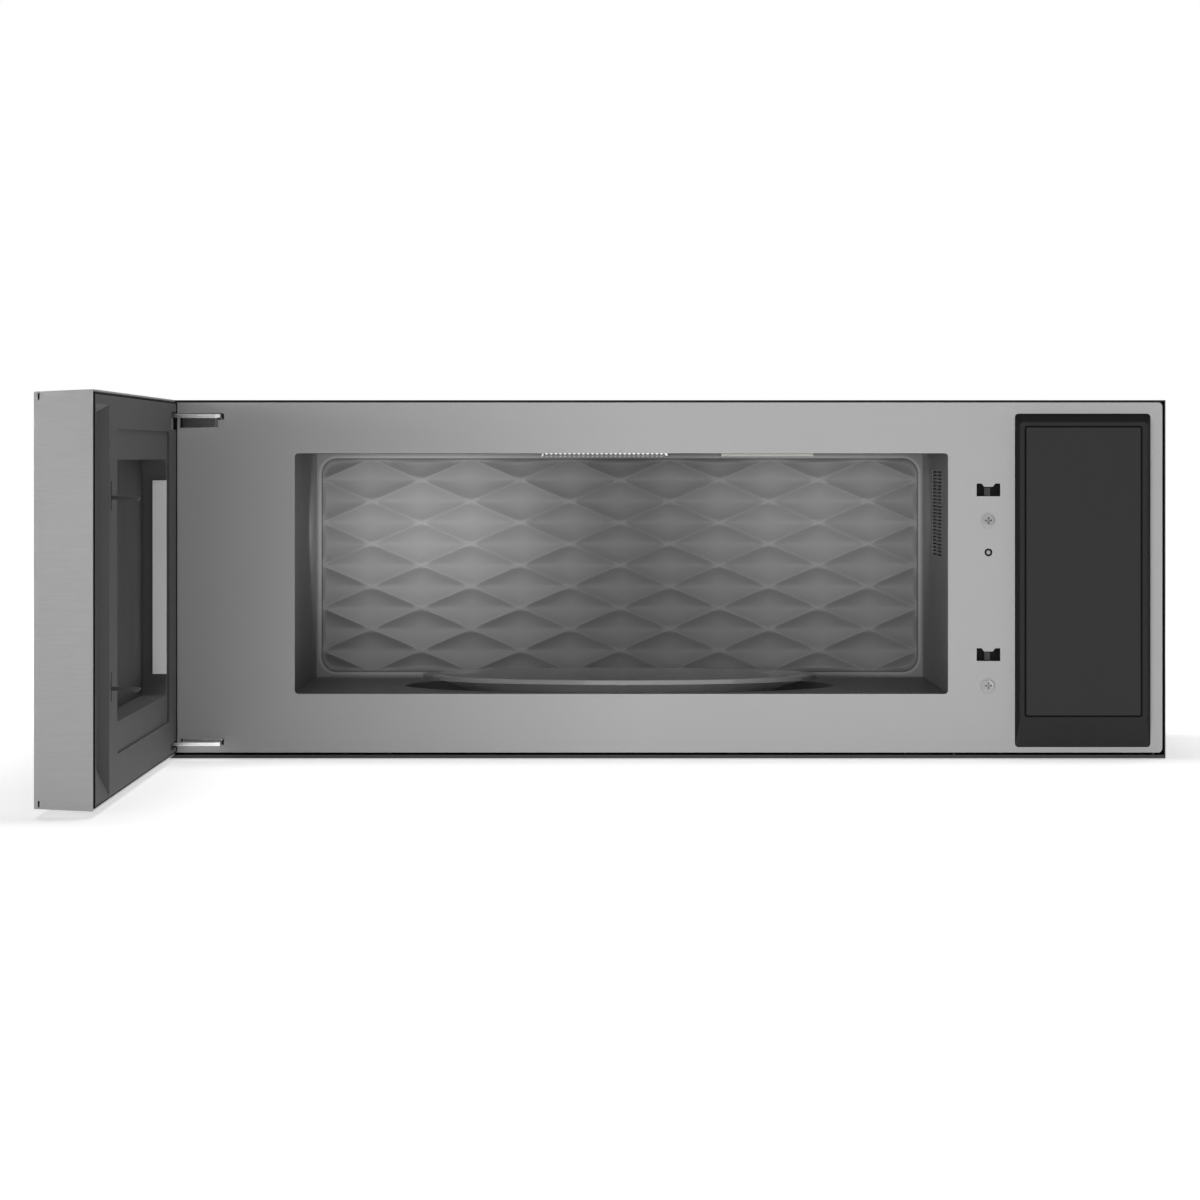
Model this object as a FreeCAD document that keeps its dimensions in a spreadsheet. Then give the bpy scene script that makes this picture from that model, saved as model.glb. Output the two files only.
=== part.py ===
"""Low-profile over-the-range microwave oven with its door standing open.

Millimetres. X runs to the viewer's right, Y toward the wall, Z up. The origin is the middle of the back
panel's wall face. The door is drawn shut, in front of the frame, then swung open about its hinge pins.
"""
import FreeCAD
import Part
import math
import os
import Sketcher
from FreeCAD import Placement, Rotation, Vector

doc = FreeCAD.newDocument("range_microwave")
sheet = doc.addObject("Spreadsheet::Sheet", "sizes")

SIZES = [
    # cabinet
    ("body_width", 760, "outside width"),
    ("body_height", 263, "outside height"),
    ("body_depth", 428, "wall face to front frame"),
    ("panel_sheet", 1.0, "cabinet sheet"),
    ("panel_flange", 14, "turned edge of the top panel"),
    ("base_lip", 2.5, "height of the base pan's front lip"),
    ("fit_gap", 0.2, "gap between nested sheets"),
    # front frame
    ("frame_sheet", 1.2, "front frame sheet"),
    ("frame_inset", 2.3, "frame edge inside the side panels"),
    ("frame_top_gap", 1.7, "frame edge below the top"),
    ("frame_bottom_gap", 4.2, "frame edge above the base"),
    ("frame_flange", 14, "depth of the frame's turned edge"),
    ("frame_corner", 3.0, "corner radius of the frame"),
    ("opening_lip", 5, "depth of the turned edge of the opening"),
    ("opening_corner", 2.6, "corner radius of the opening"),
    # cavity
    ("left_bay", 120.4, "left side to the cavity wall"),
    ("right_bay", 159.6, "cavity wall to the right side"),
    ("floor_height", 47.2, "base to the cavity floor"),
    ("headroom", 39, "cavity ceiling to the top"),
    ("rear_gap", 58, "cavity back to the wall face"),
    ("liner_sheet", 0.8, "cavity sheet"),
    ("well_radius", 164, "turntable well"),
    ("well_depth", 16, "turntable well"),
    ("spindle_hole", 7, "radius of the hole for the coupler"),
    ("vent_front", 95, "frame to the vent slots"),
    ("vent_slot_length", 62, "one vent slot"),
    ("vent_slot_height", 1.3, "one vent slot"),
    ("vent_pitch", 2.6, "between slot rows"),
    ("vent_rows", 25, "slot rows"),
    ("vent_drop", 13.5, "ceiling to the first slot"),
    ("vent_bridge", 5, "metal between the two slot columns"),
    ("quilt_margin_side", 4.6, "back wall's plain border at the sides"),
    ("quilt_margin_top", 3.6, "back wall's plain border above and below"),
    ("quilt_columns", 6, "diamonds across"),
    ("quilt_rows", 5, "diamonds up"),
    ("quilt_relief", 7, "depth of a diamond"),
    # ceiling fittings
    ("lamp_width", 86, "lamp screen"),
    ("lamp_depth", 46, "lamp screen"),
    ("lamp_setback", 40, "frame to the lamp screen"),
    ("lamp_offset", 12, "lamp screen left of the cavity middle"),
    ("lamp_height", 9, "lamp above the ceiling"),
    ("screen_drop", 2.2, "screens below the ceiling"),
    ("screen_overlap", 4, "screen edge beyond its opening"),
    ("port_width", 62, "waveguide port"),
    ("port_offset", 111, "port middle right of the cavity middle"),
    ("guide_width", 80, "waveguide, front to back"),
    ("guide_height", 34, "waveguide"),
    ("guide_sheet", 1.2, "waveguide sheet"),
    ("guide_overhang", 6, "waveguide beyond the port and the magnetron"),
    # magnetron and supply
    ("tube_width", 90, "magnetron yoke"),
    ("tube_height", 60, "magnetron yoke"),
    ("tube_setback", 18, "cavity wall to the magnetron yoke"),
    ("yoke_sheet", 2, "yoke sheet"),
    ("fin_count", 6, "cooling fins"),
    ("fin_thickness", 0.8, "cooling fins"),
    ("fin_pitch", 7, "cooling fins"),
    ("anode_radius", 19, "anode"),
    ("antenna_radius", 8, "antenna"),
    ("antenna_height", 24, "antenna above the yoke"),
    ("filter_box_height", 26, "magnetron filter box"),
    ("filter_box_width", 64, "magnetron filter box"),
    ("plate_height", 26, "component plate above the base"),
    ("plate_margin", 4, "component plate to the walls beside it"),
    ("core_width", 88, "transformer core"),
    ("core_height", 70, "transformer core"),
    ("core_stack", 50, "transformer core"),
    ("core_limb", 14, "outer limb of the core"),
    ("core_gap", 16, "winding window beside the middle limb"),
    ("coil_overhang", 12, "winding beyond the stack"),
    ("coil_gap", 0.4, "winding to the core"),
    ("core_setback", 50, "frame to the transformer"),
    ("can_width", 54, "capacitor"),
    ("can_depth", 34, "capacitor"),
    ("can_height", 92, "capacitor"),
    ("can_gap", 6, "capacitor behind the magnetron's filter box"),
    ("clamp_sheet", 1.5, "capacitor clamp"),
    ("clamp_height", 18, "capacitor clamp"),
    ("post_radius", 4, "terminals and standoffs"),
    ("partition_back", 118, "wall face to the fan partition"),
    ("partition_sheet", 1.2, "fan partition"),
    ("fan_radius", 50, "fan blade tip"),
    ("fan_tip_gap", 3, "fan blade tip to its ring"),
    ("fan_ring_depth", 20, "fan ring"),
    ("fan_hub_radius", 12, "fan hub"),
    ("fan_blades", 6, "fan blades"),
    ("fan_blade_pitch", 32, "degrees of twist"),
    ("fan_blade_thickness", 1.4, "fan blade"),
    ("fan_blade_width", 15, "fan blade, along the axis"),
    ("fan_motor_radius", 23, "fan motor"),
    ("fan_motor_length", 26, "fan motor"),
    ("fan_strut", 8, "strut between the ring and the motor"),
    ("shaft_radius", 3, "fan and turntable shafts"),
    ("shaft_clearance", 0.06, "shaft in its bearing"),
    ("board_sheet", 1.6, "circuit boards"),
    ("board_standoff", 7, "circuit board to its panel"),
    ("board_width", 90, "noise filter board"),
    ("board_height", 66, "noise filter board"),
    ("cutout_radius", 8, "thermal cut-out"),
    ("cutout_height", 9, "thermal cut-out"),
    ("bushing_radius", 9, "cord bushing"),
    ("bushing_bore", 5, "cord bushing"),
    ("bushing_flange", 2.5, "cord bushing"),
    ("bushing_inset", 60, "cord bushing to the wall and the side"),
    # latch side of the frame
    ("latch_x", 130, "latch hooks in from the right side"),
    ("slot_width", 17.4, "latch slot"),
    ("slot_height", 9.4, "latch slot"),
    ("slot_tab_width", 6.4, "tab hanging in the latch slot"),
    ("slot_tab_slope", 1.8, "sloping shoulders of the tab"),
    ("slot_tab_drop", 2.4, "tab hanging in the latch slot"),
    ("slot_top_upper", 61.2, "top to the upper latch slot"),
    ("slot_top_lower", 182.2, "top to the lower latch slot"),
    ("latch_screw_upper", 88.3, "top to the upper latch screw"),
    ("latch_screw_lower", 209.6, "top to the lower latch screw"),
    ("stud_drop", 111.8, "top to the locating stud"),
    ("stud_radius", 1.5, "locating stud"),
    ("stud_hole", 2.9, "frame hole round the locating stud"),
    ("stud_sink", 0.5, "locating stud below the frame face"),
    ("screw_radius", 1.9, "latch screws"),
    ("screw_head", 4.1, "latch screw heads"),
    ("screw_head_height", 1.6, "latch screw heads"),
    ("screw_length", 9, "latch screws"),
    ("screw_recess", 1.1, "width of the cross recess"),
    ("screw_recess_depth", 1.4, "cross recess"),
    ("dimple_radius", 5.8, "dimple round a latch screw"),
    ("dimple_depth", 0.35, "dimple round a latch screw"),
    ("latch_board_width", 26, "latch board"),
    ("latch_board_sheet", 3, "latch board"),
    ("latch_board_depth", 34, "latch board"),
    ("latch_board_margin", 14, "latch board beyond the outer screws"),
    ("switch_width", 10, "interlock switch"),
    ("switch_height", 20, "interlock switch"),
    ("switch_depth", 14, "interlock switch"),
    ("plunger_width", 4.4, "switch plunger"),
    ("plunger_height", 6, "switch plunger"),
    ("plunger_out", 4, "plunger beyond the switch"),
    ("plunger_in", 9, "plunger inside the switch"),
    ("plunger_gap", 0.7, "plunger to the shut door's hook"),
    ("bore_clearance", 0.08, "plunger in its switch"),
    # control unit
    ("control_left", 110.6, "control surround to the right side"),
    ("control_right", 11.1, "control surround to the right side"),
    ("control_top", 9.9, "control surround to the top"),
    ("control_bottom", 8.2, "control surround to the base"),
    ("control_rise", 9, "control face in front of the frame"),
    ("control_draft", 3.0, "surround's slope at the sides"),
    ("control_draft_top", 6.3, "surround's slope at the top"),
    ("control_draft_bottom", 19.7, "surround's slope below"),
    ("touch_sink", 2.2, "touch panel's pocket"),
    ("control_corner", 2.6, "corners of the surround"),
    ("touch_groove", 0.8, "groove round the touch panel"),
    ("touch_border", 3.6, "housing edge outside the groove at the sides"),
    ("touch_border_edge", 2.7, "housing edge outside the groove above and below"),
    ("touch_corner", 1.2, "corners of the touch panel"),
    ("sleeve_inset", 13, "sleeve inside the surround"),
    ("sleeve_depth", 17, "sleeve behind the frame"),
    ("sleeve_wall", 2, "sleeve"),
    # turntable
    ("tray_radius", 151, "glass tray"),
    ("tray_glass", 4, "glass tray"),
    ("tray_base_radius", 112, "flat of the tray"),
    ("tray_rim_width", 8, "level rim of the tray"),
    ("tray_rim_height", 8.6, "rim above the cavity floor"),
    ("roller_radius", 5.5, "roller"),
    ("roller_width", 8, "roller"),
    ("roller_gap", 0.3, "roller to the tray and to the well"),
    ("axle_radius", 2, "roller axle"),
    ("axle_clearance", 0.1, "roller on its axle"),
    ("ring_radius", 88, "roller ring"),
    ("ring_width", 7, "roller ring"),
    ("ring_height", 5, "roller ring"),
    ("hub_radius", 10, "coupler"),
    ("hub_arm_length", 30, "coupler arm"),
    ("hub_arm_width", 9, "coupler arm"),
    ("hub_lift", 2.5, "coupler above the well"),
    ("motor_radius", 24, "turntable motor"),
    ("motor_height", 17, "turntable motor"),
    # hinge
    ("pin_radius", 3.5, "hinge pin"),
    ("pin_clearance", 0.07, "hinge pin in the door"),
    ("arm_sheet", 2.6, "hinge arm"),
    ("arm_drop_upper", 10.4, "top to the upper arm"),
    ("arm_rise_lower", 10.4, "base to the lower arm"),
    ("arm_reach", 51, "arm beyond the pin"),
    ("arm_half_width", 9, "arm beside the pin"),
    ("arm_root", 22, "pin to the arm's root"),
    ("arm_lip", 7.6, "turned edge of the arm"),
    ("arm_chamfer", 3, "cut corner of the arm"),
    ("arm_lip_inset", 1.6, "turned edge inside the arm's end"),
    ("arm_lip_corner", 1.8, "rounded corners of the turned edge"),
    ("arm_leg", 22, "arm's foot behind the frame"),
    ("arm_slot_gap", 1.3, "frame slot round the arm"),
    # door
    ("door_gap", 3, "frame to the shut door"),
    ("door_thickness", 37.5, "door"),
    ("swing_overhang", 2.5, "open door's outer face beyond the cabinet side"),
    ("door_end_gap", 1, "door end inside the cabinet side"),
    ("door_top_gap", 0.1, "door edge below the top"),
    ("door_bottom_gap", 3.7, "door edge above the base"),
    ("skin_sheet", 1.2, "stainless skin"),
    ("skin_taper", 1.6, "outer face smaller than the inner edge, above and below"),
    ("edge_gap", 1.7, "liner to the skin at its edges"),
    ("skin_hinge_return", 18, "skin's edge at the hinge end"),
    ("skin_reveal", 1.2, "skin's edge below the liner face"),
    ("relief_width", 1.1, "bend relief"),
    ("relief_height", 6.5, "bend relief"),
    ("relief_setback", 2.4, "bend relief"),
    ("glass_margin_left", 70, "outer glass opening to the door end"),
    ("glass_margin_right", 190, "outer glass opening to the door end"),
    ("glass_margin_edge", 42, "outer glass opening to the door edges"),
    ("glass_corner", 8, "outer glass opening"),
    ("glass_overlap", 10, "outer glass behind the skin"),
    ("door_glass_sheet", 4, "outer glass"),
    ("liner_wall", 3, "door liner"),
    ("liner_hinge_radius", 15, "rounded hinge edge of the liner"),
    ("liner_hinge_depth", 18, "liner wall at the hinge end"),
    ("liner_rim_depth", 12, "liner wall at the other edges"),
    ("window_left", 98, "cabinet side to the window recess"),
    ("window_right", 187, "window recess to the cabinet side"),
    ("window_top", 43.5, "top to the window recess"),
    ("window_bottom", 50.5, "window recess to the base"),
    ("window_corner", 15, "window recess"),
    ("window_depth", 19, "window recess"),
    ("window_wall", 2.5, "window recess"),
    ("window_glass", 3, "inner window"),
    ("panel_border", 8, "shallow recess beyond the window at the sides"),
    ("panel_border_edge", 20, "shallow recess beyond the window above and below"),
    ("panel_step", 1.5, "shallow recess"),
    ("panel_corner", 6, "shallow recess"),
    ("strip_depth", 10, "pale strip"),
    ("pan_border", 16, "inner pan round the window"),
    ("window_seat", 6, "inner window beyond the recess"),
    ("screen_sheet", 0.6, "window screen"),
    ("nest_gap", 2.2, "control unit to its recess in the door"),
    ("nest_wall", 2.5, "control recess"),
    ("hook_slot_width", 7, "latch slot in the liner"),
    ("hook_slot_height", 19, "latch slot in the liner"),
    ("hook_thickness", 5, "latch hook"),
    ("hook_height", 2.8, "latch hook"),
    ("hook_taper", 1.0, "slope of the hook's top"),
    ("hook_reach", 18.5, "latch hook beyond the liner"),
    ("hook_drop", 4.8, "hook's top below the slot's top"),
    ("hook_nose", 1.0, "hook's nose below its arm"),
    ("hook_nose_length", 4.5, "hook's nose"),
    ("hook_chamfer", 2, "hook's sloping tip"),
    ("bar_depth", 8, "latch bar"),
    ("bar_margin", 9, "latch bar beyond the hooks"),
    ("slide_gap", 0.3, "latch bar to the liner"),
    ("spring_radius", 3, "latch spring"),
    ("spring_wire", 0.5, "latch spring wire radius"),
    ("spring_length", 16, "latch spring"),
    ("spring_pitch", 3.2, "latch spring"),
    ("anchor_size", 8, "spring anchor"),
    ("pocket_margin", 5.5, "hinge pocket beyond the arm's sweep"),
    ("ear_sheet", 2, "door hinge plate"),
    ("ear_radius", 8, "door hinge plate round the pin"),
    ("ear_length", 30, "door hinge plate beyond the pin"),
    # ventilation
    ("wheel_radius", 60, "blower wheel"),
    ("wheel_width", 78, "blower wheel"),
    ("wheel_blades", 22, "blower wheel"),
    ("wheel_blade_depth", 14, "blower wheel"),
    ("wheel_blade_thickness", 1.2, "blower wheel"),
    ("wheel_disc", 2, "blower wheel"),
    ("wheel_hub", 11, "blower wheel"),
    ("wheel_gap", 6, "wheel to its housing"),
    ("scroll_sheet", 1.2, "blower housing"),
    ("scroll_swell", 14, "blower housing beyond the wheel"),
    ("scroll_setback", 160, "wall face to the wheel's axis"),
    ("scroll_drop", 12, "wheel's axis below the middle"),
    ("scroll_side_gap", 8, "blower housing to the cavity wall"),
    ("inlet_radius", 46, "blower inlet"),
    ("outlet_height", 62, "blower outlet"),
    ("vent_motor_radius", 34, "blower motor"),
    ("vent_motor_length", 46, "blower motor"),
    ("duct_sheet", 1, "exhaust duct"),
    ("duct_half_width", 132, "exhaust duct above the cavity"),
    ("duct_clearance", 1, "exhaust duct to the cavity"),
    ("duct_reach", 102, "wall face to the front of the duct"),
    ("port_half_width", 126, "exhaust port"),
    ("port_front", 92, "wall face to the front of the port"),
    ("port_back", 8, "wall face to the back of the port"),
    ("flap_gap", 1.5, "damper flap inside the port"),
    ("flap_sheet", 1, "damper flap"),
    ("flap_rod", 2, "damper rod"),
    ("flap_rod_clearance", 0.08, "damper rod in the duct"),
    # base
    ("filter_length", 195, "grease filter opening"),
    ("filter_width", 150, "grease filter opening"),
    ("filter_offset", 250, "filter middle from the middle"),
    ("filter_setback", 150, "frame to the filter opening"),
    ("filter_height", 5, "grease filter"),
    ("filter_overlap", 5, "grease filter on the pan"),
    ("filter_rim", 8, "grease filter frame"),
    ("filter_mesh", 2.4, "grease filter mesh"),
    ("lens_length", 70, "cooktop lamp opening"),
    ("lens_width", 34, "cooktop lamp opening"),
    ("lens_offset", 150, "lamp middle from the middle"),
    ("lens_setback", 30, "frame to the lamp opening"),
    ("lens_sheet", 2, "lamp lens"),
    ("lens_overlap", 4, "lamp lens on the pan"),
    ("lamp_module", 7, "cooktop lamp"),
    ("intake_slots", 6, "cooling intake"),
    ("intake_length", 90, "cooling intake"),
    ("intake_width", 5, "cooling intake"),
    ("intake_pitch", 11, "cooling intake"),
    # mounting
    ("bolt_spacing", 660, "cabinet bolts"),
    ("bolt_setback", 318, "wall face to the cabinet bolts"),
    ("bolt_hole", 3.3, "cabinet bolt hole"),
    ("nut_radius", 7, "weld nut"),
    ("nut_height", 8, "weld nut"),
    ("hook_hole_spacing", 420, "wall plate hooks"),
    ("hook_hole_width", 44, "wall plate hooks"),
    ("hook_hole_height", 8, "wall plate hooks"),
    ("hook_hole_rise", 16, "wall plate hooks above the base"),
]

for row, (alias, number, note) in enumerate(SIZES, start=1):
    sheet.set("A%d" % row, note)
    sheet.set("B%d" % row, str(number))
    sheet.setAlias("B%d" % row, alias)
doc.recompute()


class Formula:
    """Arithmetic on the sheet's cells, kept as text so that a property can be bound to it."""

    def __init__(self, text):
        self.text = text

    def __add__(self, other):
        return Formula("(%s + %s)" % (self.text, text_of(other)))

    def __radd__(self, other):
        return Formula("(%s + %s)" % (text_of(other), self.text))

    def __sub__(self, other):
        return Formula("(%s - %s)" % (self.text, text_of(other)))

    def __rsub__(self, other):
        return Formula("(%s - %s)" % (text_of(other), self.text))

    def __mul__(self, other):
        return Formula("(%s * %s)" % (self.text, text_of(other)))

    __rmul__ = __mul__

    def __truediv__(self, other):
        return Formula("(%s / %s)" % (self.text, text_of(other)))

    def __neg__(self):
        return Formula("(-%s)" % self.text)


def text_of(item):
    return item.text if isinstance(item, Formula) else str(item)


def number_of(item):
    return float(sheet.evalExpression(text_of(item)))


class Cells:
    """Each cell of the sheet by its alias."""

    def __getattr__(self, alias):
        return Formula("sizes." + alias)


s = Cells()
pieces = {}


def keep(node, item):
    """Name a finished piece; its name is also its file's name."""
    item.Label = node
    pieces[node] = item
    return item


# Blocks, cylinders and booleans

def place(item, x, y, z):
    item.setExpression("Placement.Base.x", text_of(x))
    item.setExpression("Placement.Base.y", text_of(y))
    item.setExpression("Placement.Base.z", text_of(z))
    return item


def block(name, x, y, z):
    """A block between two positions along each axis."""
    solid = doc.addObject("Part::Box", name)
    solid.setExpression("Length", text_of(x[1] - x[0]))
    solid.setExpression("Width", text_of(y[1] - y[0]))
    solid.setExpression("Height", text_of(z[1] - z[0]))
    return place(solid, x[0], y[0], z[0])


AXES = {"X": Vector(1, 0, 0), "Y": Vector(0, 1, 0), "Z": Vector(0, 0, 1)}


def rod(name, axis, start, length, radius):
    """A cylinder from a start point along +X, +Y or +Z."""
    solid = doc.addObject("Part::Cylinder", name)
    solid.Placement = Placement(Vector(), Rotation(AXES["Z"], AXES[axis]))
    solid.setExpression("Radius", text_of(radius))
    solid.setExpression("Height", text_of(length))
    return place(solid, *start)


def join(name, *solids):
    fused = doc.addObject("Part::MultiFuse", name)
    fused.Shapes = list(solids)
    fused.Refine = True
    return fused


def without(name, base, *tools):
    cut = doc.addObject("Part::Cut", name)
    cut.Base = base
    cut.Tool = tools[0] if len(tools) == 1 else join(name + "_tools", *tools)
    return cut


def group(name, *solids):
    """Several like pieces in one file."""
    members = doc.addObject("Part::Compound", name)
    members.Links = list(solids)
    return members


# Sketches and the features made from them

NORMAL = {"XY": 1, "XZ": -1, "YZ": 1}


def new_body(name):
    return doc.addObject("PartDesign::Body", name + "_body")


def origin_item(body, role):
    return [item for item in body.Origin.OriginFeatures if item.Role == role][0]


def new_sketch(body, name, plane, level):
    """A sketch on an origin plane, moved along that plane's axis to a level."""
    sketch = body.newObject("Sketcher::SketchObject", name)
    sketch.AttachmentSupport = [(origin_item(body, plane + "_Plane"), "")]
    sketch.MapMode = "FlatFace"
    offset = level if NORMAL[plane] > 0 else -level
    sketch.setExpression("AttachmentOffset.Base.z", text_of(offset))
    return sketch


def bind(sketch, constraint, item):
    index = sketch.addConstraint(constraint)
    sketch.setExpression("Constraints[%d]" % index, text_of(item))


def pin_point(sketch, geometry, end, u, v):
    """Tie one end of a line to a position."""
    if u is not None:
        bind(sketch, Sketcher.Constraint("DistanceX", -1, 1, geometry, end, number_of(u)), u)
    if v is not None:
        bind(sketch, Sketcher.Constraint("DistanceY", -1, 1, geometry, end, number_of(v)), v)


def polygon(sketch, corners):
    """A closed run of straight lines through the corners."""
    points = [Vector(number_of(u), number_of(v), 0) for u, v in corners]
    count = len(points)
    first = sketch.GeometryCount
    for i in range(count):
        sketch.addGeometry(Part.LineSegment(points[i], points[(i + 1) % count]), False)
    for i in range(count):
        sketch.addConstraint(Sketcher.Constraint("Coincident", first + i, 2, first + (i + 1) % count, 1))
    for i in range(count):
        pin_point(sketch, first + i, 1, *corners[i])
    return sketch


def stepped(sketch, corners):
    """A closed outline of level and upright lines; a corner may carry a radius."""
    count = len(corners)
    points = [Vector(number_of(c[0]), number_of(c[1]), 0) for c in corners]
    radii = [number_of(c[2]) if len(c) > 2 else 0.0 for c in corners]
    ways = [(points[(i + 1) % count] - points[i]).normalize() for i in range(count)]
    first = sketch.GeometryCount
    for i in range(count):
        start = points[i] + ways[i] * radii[i]
        stop = points[(i + 1) % count] - ways[i] * radii[(i + 1) % count]
        sketch.addGeometry(Part.LineSegment(start, stop), False)
        upright = abs(ways[i].x) < 0.5
        sketch.addConstraint(Sketcher.Constraint("Vertical" if upright else "Horizontal", first + i))
        if upright:
            pin_point(sketch, first + i, 1, corners[i][0], None)
        else:
            pin_point(sketch, first + i, 1, None, corners[i][1])
    for i in range(count):
        before = first + (i - 1) % count
        after = first + i
        if radii[i] == 0.0:
            sketch.addConstraint(Sketcher.Constraint("Coincident", before, 2, after, 1))
            continue
        way_in = ways[(i - 1) % count]
        centre = points[i] + (ways[i] - way_in) * radii[i]
        left_turn = way_in.x * ways[i].y - way_in.y * ways[i].x > 0
        tangent_in = points[i] - way_in * radii[i] - centre
        tangent_out = points[i] + ways[i] * radii[i] - centre
        start, stop = (tangent_in, tangent_out) if left_turn else (tangent_out, tangent_in)
        circle = Part.Circle(centre, Vector(0, 0, 1), radii[i])
        low = math.atan2(start.y, start.x)
        high = math.atan2(stop.y, stop.x)
        if high < low:
            high += 2 * math.pi
        arc = sketch.addGeometry(Part.ArcOfCircle(circle, low, high), False)
        ends = (1, 2) if left_turn else (2, 1)
        sketch.addConstraint(Sketcher.Constraint("Tangent", before, 2, arc, ends[0]))
        sketch.addConstraint(Sketcher.Constraint("Tangent", arc, ends[1], after, 1))
        bind(sketch, Sketcher.Constraint("Radius", arc, radii[i]), corners[i][2])
    return sketch


def rectangle(sketch, u, v, radius=None):
    corners = [(u[0], v[0]), (u[1], v[0]), (u[1], v[1]), (u[0], v[1])]
    if radius is not None:
        corners = [corner + (radius,) for corner in corners]
    return stepped(sketch, corners)


def circle(sketch, u, v, radius):
    spot = Vector(number_of(u), number_of(v), 0)
    index = sketch.addGeometry(Part.Circle(spot, Vector(0, 0, 1), number_of(radius)), False)
    pin_point(sketch, index, 3, u, v)
    bind(sketch, Sketcher.Constraint("Radius", index, number_of(radius)), radius)
    return sketch


def plane_of(sketch):
    return sketch.AttachmentSupport[0][0].Role[:2]


def pad(sketch, length, way):
    """Raise a sketch along +1 or -1 of its plane's axis."""
    body = sketch.getParentGeoFeatureGroup()
    feature = body.newObject("PartDesign::Pad", sketch.Name + "_pad")
    feature.Profile = sketch
    feature.setExpression("Length", text_of(length))
    feature.Reversed = way != NORMAL[plane_of(sketch)]
    body.Tip = feature
    return feature


def pocket(sketch, length, way):
    """Cut a sketch along +1 or -1 of its plane's axis."""
    body = sketch.getParentGeoFeatureGroup()
    feature = body.newObject("PartDesign::Pocket", sketch.Name + "_pocket")
    feature.Profile = sketch
    feature.setExpression("Length", text_of(length))
    feature.Reversed = way == NORMAL[plane_of(sketch)]
    body.Tip = feature
    return feature


def loft(kind, first, last):
    body = first.getParentGeoFeatureGroup()
    feature = body.newObject("PartDesign::" + kind, first.Name + "_loft")
    feature.Profile = first
    feature.Sections = [last]
    feature.Ruled = True
    body.Tip = feature
    return feature


def row_of(feature, axis, length, count):
    """Repeat a feature along a sketch axis."""
    body = feature.getParentGeoFeatureGroup()
    pattern = body.newObject("PartDesign::LinearPattern", feature.Name + "_row")
    pattern.Originals = [feature]
    pattern.Direction = (feature.Profile[0], [axis])
    pattern.setExpression("Length", text_of(length))
    pattern.setExpression("Occurrences", text_of(count))
    body.Tip = pattern
    return pattern


def ring_of(feature, axis_role, count):
    """Repeat a feature round an origin axis."""
    body = feature.getParentGeoFeatureGroup()
    pattern = body.newObject("PartDesign::PolarPattern", feature.Name + "_ring")
    pattern.Originals = [feature]
    pattern.Axis = (origin_item(body, axis_role), [""])
    pattern.Angle = 360
    pattern.setExpression("Occurrences", text_of(count))
    body.Tip = pattern
    return pattern


def revolve(sketch):
    """Turn a sketch round its upright axis."""
    body = sketch.getParentGeoFeatureGroup()
    feature = body.newObject("PartDesign::Revolution", sketch.Name + "_turned")
    feature.Profile = sketch
    feature.ReferenceAxis = (sketch, ["V_Axis"])
    feature.Angle = 360
    body.Tip = feature
    return feature


# Where things are

left = -s.body_width / 2
right = s.body_width / 2
bottom = -s.body_height / 2
top = s.body_height / 2
front = -s.body_depth
inside_left = left + s.panel_sheet
inside_right = right - s.panel_sheet
inside_bottom = bottom + s.panel_sheet
inside_top = top - s.panel_sheet
inside_back = -s.panel_sheet
frame_back = front + s.frame_sheet

cavity_left = left + s.left_bay
cavity_right = right - s.right_bay
cavity_floor = bottom + s.floor_height
cavity_top = top - s.headroom
cavity_back = -s.rear_gap
cavity_front = front + s.opening_lip
cavity_mid_x = (cavity_left + cavity_right) / 2
cavity_mid_y = (front + cavity_back) / 2
roof = cavity_top + s.liner_sheet
wall_right = cavity_right + s.liner_sheet
wall_left = cavity_left - s.liner_sheet
well_floor = cavity_floor - s.well_depth
well_under = well_floor - s.liner_sheet

door_in = front - s.door_gap
door_out = door_in - s.door_thickness
door_left = left + s.door_end_gap
door_right = right - s.door_end_gap
door_top = top - s.door_top_gap
door_bottom = bottom + s.door_bottom_gap
pivot_x = left + s.door_thickness / 2 - s.swing_overhang
pivot_y = door_in - s.door_thickness / 2
latch_x = right - s.latch_x


def grown(span, by):
    return (span[0] - by, span[1] + by)


def hang(item, x=0, y=0, z=0):
    """Swing a piece of the shut door open by a quarter turn about the hinge pins."""
    item.Placement = Placement(Vector(), Rotation(AXES["Z"], -90))
    return place(item, pivot_x - pivot_y + y, pivot_x + pivot_y - x, z)


def hung_block(name, x, y, z):
    return hang(block(name, x, y, z), x[0], y[0], z[0])


# Cabinet panels

for side, near, far in (("left", left, inside_left), ("right", inside_right, right)):
    name = "side_panel_" + side
    body = new_body(name)
    sketch = new_sketch(body, name + "_face", "YZ", near)
    rectangle(sketch, (front, inside_back), (bottom, top))
    pad(sketch, far - near, 1)
    keep(name, body)

body = new_body("top_panel")
sketch = new_sketch(body, "top_face", "XY", inside_top)
rectangle(sketch, (inside_left, inside_right), (frame_back + s.fit_gap, inside_back))
rectangle(sketch, (-s.port_half_width, s.port_half_width), (-s.port_front, -s.port_back))
circle(sketch, -s.bolt_spacing / 2, -s.bolt_setback, s.bolt_hole)
circle(sketch, s.bolt_spacing / 2, -s.bolt_setback, s.bolt_hole)
circle(sketch, right - s.bushing_inset, -s.bushing_inset, s.bushing_radius)
pad(sketch, s.panel_sheet, 1)
sketch = new_sketch(body, "top_flanges", "XY", inside_top)
flange_y = (frame_back + s.frame_flange + s.fit_gap, inside_back)
rectangle(sketch, (inside_left, inside_left + s.panel_sheet), flange_y)
rectangle(sketch, (inside_right - s.panel_sheet, inside_right), flange_y)
pad(sketch, s.panel_flange, -1)
sketch = new_sketch(body, "weld_nuts", "XY", inside_top)
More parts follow.
